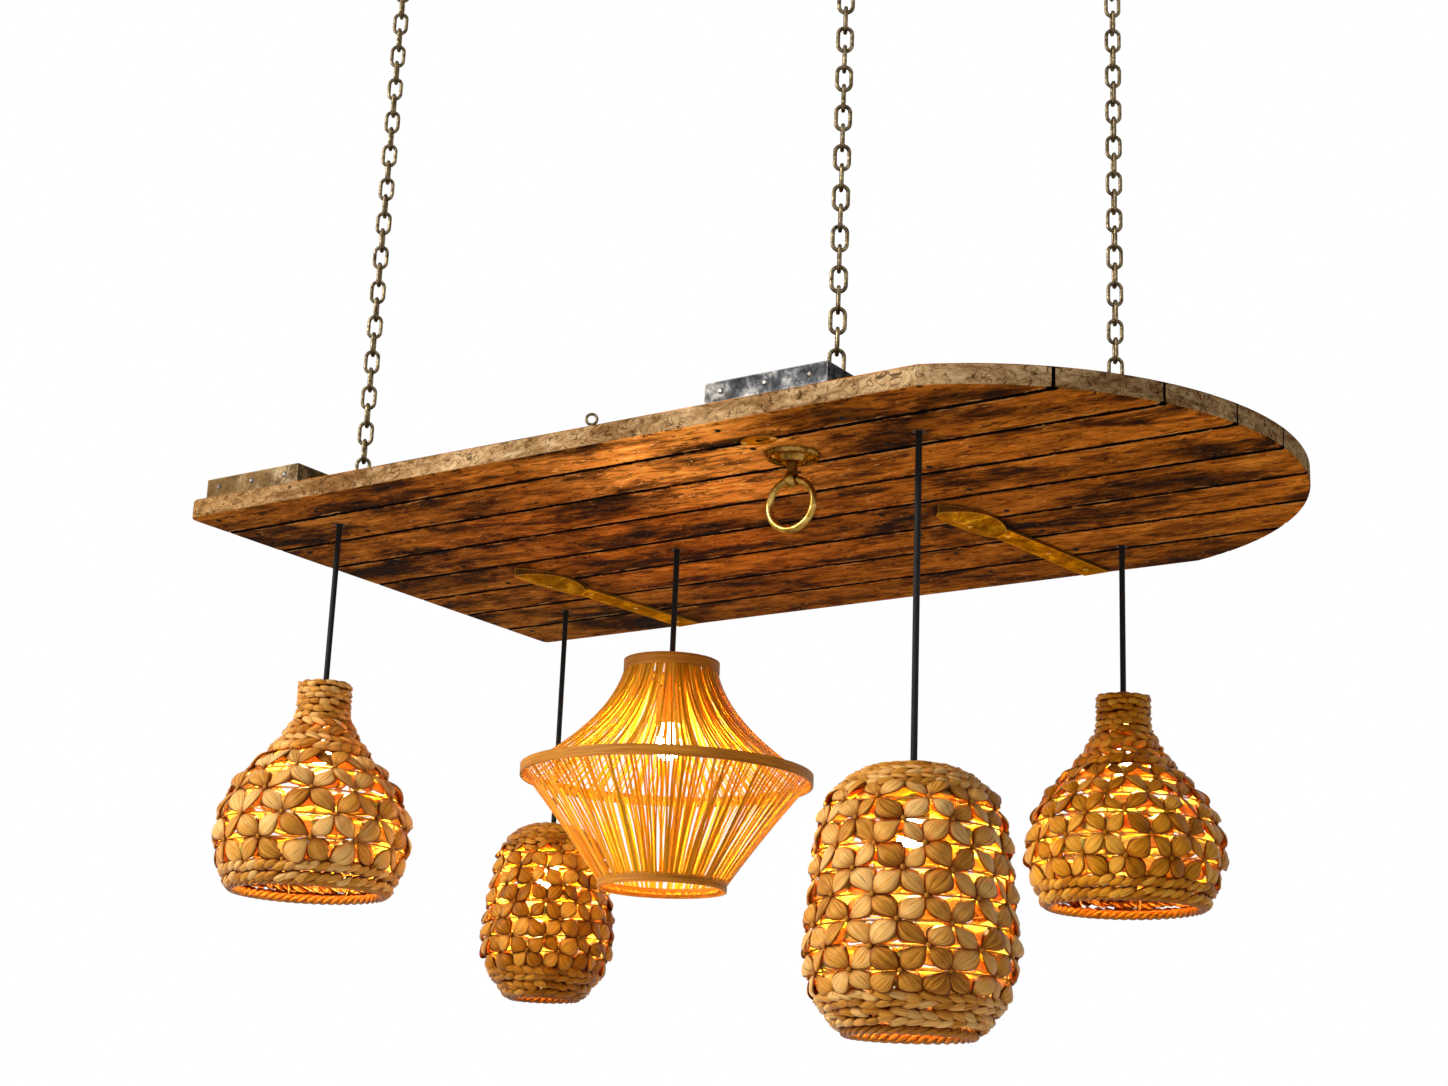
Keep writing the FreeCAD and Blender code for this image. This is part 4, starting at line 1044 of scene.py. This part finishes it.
def hang_cord(name, material):
    """Straight hanging cord in place of its solid."""
    low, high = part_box(f"{name}_cord")
    radius = (high.x - low.x) / 2
    x, y = (low.x + high.x) / 2, (low.y + high.y) / 2
    top, foot = high.z - radius, low.z + radius
    data = bpy.data.curves.new(f"{name}_line", "CURVE")
    data.dimensions = "3D"
    data.bevel_depth = radius
    data.bevel_resolution = 4
    data.use_fill_caps = True
    spline = data.splines.new("NURBS")
    spline.points.add(cord_points - 1)
    for point, z in zip(spline.points, np.linspace(top, foot, cord_points)):
        point.co = (x, y, z, 1.0)
    spline.order_u = 3
    spline.use_endpoint_u = True
    data.materials.append(material)
    line = bpy.data.objects.new(f"{name}_line", data)
    scene.collection.objects.link(line)
    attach(line, f"{name}_cord")
    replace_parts(line, f"{name}_cord")


def lay_floor():
    """Wide square floor below the lowest shade."""
    z = cad_low.z - floor_drop
    corners = [(-floor_half, -floor_half, z), (floor_half, -floor_half, z),
               (floor_half, floor_half, z), (-floor_half, floor_half, z)]
    mesh = bpy.data.meshes.new("floor")
    mesh.from_pydata(corners, [], [(0, 1, 2, 3)])
    mesh.materials.append(floor_white())
    floor = bpy.data.objects.new("floor", mesh)
    scene.collection.objects.link(floor)
    floor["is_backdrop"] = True


# Put the scene together

set_camera()
set_lamp("key_lamp", key_place, key_watts)
set_lamp("fill_lamp", fill_place, fill_watts)
set_world()
scene.view_settings.view_transform = "Standard"
lay_floor()

# Finishes
antique_brass = metal("antique_brass", dark=(0.030, 0.021, 0.011), middle=(0.135, 0.098, 0.052),
                      light=(0.34, 0.265, 0.15), rough=0.34, scale=140)
# Old brass with a painted highlight along its edges
old_brass = metal("old_brass", dark=(0.055, 0.022, 0.003), middle=(0.34, 0.140, 0.020),
                  light=(0.90, 0.46, 0.090), rough=0.28, scale=28, tint=(0.125, 0.072, 0.020), painted_edge=0.004)
rubbed_brass = metal("rubbed_brass", dark=(0.085, 0.044, 0.007), middle=(0.34, 0.195, 0.038),
                     light=(0.70, 0.47, 0.14), rough=0.24, scale=24)
# Dull brass with painted shade along its edges
dull_brass = metal("dull_brass", dark=(0.030, 0.013, 0.002), middle=(0.220, 0.098, 0.016),
                   light=(0.60, 0.33, 0.080), rough=0.26, scale=45, painted_edge=0.005, rim=(0.030, 0.013, 0.002))
# Cold and bronzed steel with a painted highlight along their edges
cold_steel = metal("cold_steel", dark=(0.017, 0.017, 0.018), middle=(0.054, 0.055, 0.057),
                   light=(0.21, 0.195, 0.175), rough=0.50, scale=24, tint=(0.060, 0.034, 0.016), painted_edge=0.003)
bronzed_steel = metal("bronzed_steel", dark=(0.022, 0.014, 0.006), middle=(0.086, 0.055, 0.026),
                      light=(0.21, 0.150, 0.082), rough=0.46, scale=30, tint=(0.090, 0.048, 0.016),
                      painted_edge=0.003)
rusty_wire = metal("rusty_wire", dark=(0.22, 0.085, 0.018), middle=(0.46, 0.215, 0.052),
                   light=(0.66, 0.36, 0.105), rough=0.45, scale=160)
plain_steel = metal("plain_steel", dark=(0.050, 0.042, 0.034), middle=(0.13, 0.115, 0.10),
                    light=(0.27, 0.25, 0.22), rough=0.36, scale=200)
nail_iron = metal("nail_iron", dark=(0.020, 0.016, 0.013), middle=(0.055, 0.045, 0.038),
                  light=(0.12, 0.10, 0.085), rough=0.5, scale=200)
black_plastic = plastic("black_plastic", (0.022, 0.021, 0.020), rough=0.45)
grey_plastic = plastic("grey_plastic", (0.45, 0.45, 0.44), rough=0.5)
white_plastic = plastic("white_plastic", (0.82, 0.81, 0.78), rough=0.5)
tan_plastic = plastic("tan_plastic", (0.42, 0.22, 0.07), rough=0.45)
ledge_wood = plain_wood("ledge_wood", dark=(0.13, 0.075, 0.035), light=(0.34, 0.21, 0.11), scales=(60, 3, 60))
hoop_bamboo = plain_wood("hoop_bamboo", dark=(0.36, 0.120, 0.005), light=(0.64, 0.262, 0.022),
                         scales=(10, 10, 260))
tier_bamboo = splint_bamboo()
black_cord = cord_cover()
woven_bulb = glowing_glass("bulb_glow", woven_glow)
bamboo_bulb = glowing_glass("bright_bulb_glow", bamboo_glow)
golden_fibre = leaf_fibre("golden_fibre", dark=(0.26, 0.070, 0.003), middle=(0.78, 0.335, 0.046),
                          light=(0.98, 0.62, 0.225))
amber_fibre = leaf_fibre("amber_fibre", dark=(0.22, 0.052, 0.001), middle=(0.72, 0.275, 0.012),
                         light=(0.95, 0.49, 0.065))
# Lining fibre painted paler and yellower than the outer fibre, as a lit copy of it, and letting much light
# through
lit_fibre = leaf_fibre("lit_fibre", dark=(0.62, 0.26, 0.020), middle=(0.90, 0.52, 0.090),
                       light=(0.97, 0.66, 0.170), lets_through=0.9, shaded_creases=False)
umber_fibre = leaf_fibre("umber_fibre", dark=(0.14, 0.032, 0.001), middle=(0.44, 0.150, 0.007),
                         light=(0.74, 0.34, 0.045))

# Which solid has which finish
pendants = ("left_bell", "right_bell", "near_barrel", "far_barrel", "bamboo")
finish = {"ceiling_hooks": antique_brass, "eye_screws": antique_brass, "cover_screws": plain_steel,
          "plank_nails": nail_iron, "brass_screws": old_brass, "keyhole_plate": old_brass,
          "strap_hinge_left": old_brass, "strap_hinge_right": old_brass, "pull_rosette": dull_brass,
          "pull_neck": rubbed_brass, "pull_ring": rubbed_brass, "ledge_left": ledge_wood,
          "ledge_right": ledge_wood, "ledge_cover_left": bronzed_steel, "ledge_cover_right": cold_steel,
          "junction_box": grey_plastic, "junction_lid": grey_plastic, "terminal_block": white_plastic,
          "fixed_cords": black_cord, "cord_grips": black_plastic, "bamboo_spider": plain_steel,
          "bamboo_hoops": hoop_bamboo}
for number in (1, 2, 3):
    for kind in ("top_link", "chain", "low_link"):
        finish[f"{kind}_{number}"] = antique_brass
for number in range(1, plank_count + 1):
    low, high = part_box(f"plank_{number}")
    pale = plank_tone + plank_tone_spread * (number * 5 % plank_count) / plank_count
    # The outer edges of the door are no joints, so theirs are put out of the way
    near_joint = low.y if number > 1 else low.y - 1
    far_joint = high.y if number < plank_count else high.y + 1
    finish[f"plank_{number}"] = plank_wood(f"plank_wood_{number}", number, pale, near_joint, far_joint)
for name in pendants:
    finish[f"{name}_holder"] = tan_plastic if name == "bamboo" else black_plastic
    finish[f"{name}_bulb"] = bamboo_bulb if name == "bamboo" else woven_bulb
for node, material in finish.items():
    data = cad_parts[node].data
    data.materials.clear()
    data.materials.append(material)

# Cords and shades
for name in pendants:
    hang_cord(name, black_cord)
weaves = {
    "left_bell": dict(lines=left_lines, count=12, phase=0.2, slim=0.66, braids=bell_braids,
                      fibre=golden_fibre),
    "right_bell": dict(lines=right_lines, count=14, phase=0.9, slim=0.63, braids=bell_braids,
                       fibre=amber_fibre),
    "near_barrel": dict(lines=near_lines, count=12, phase=0.4, slim=0.75, braids=barrel_braids,
                        fibre=golden_fibre),
    "far_barrel": dict(lines=far_lines, count=12, phase=0.1, slim=0.75, braids=barrel_braids,
                       fibre=umber_fibre)}
for name, weave in weaves.items():
    weave_shade(name, lining=lit_fibre, wire=rusty_wire, **weave)
bamboo_tiers(tier_bamboo)

low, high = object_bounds()
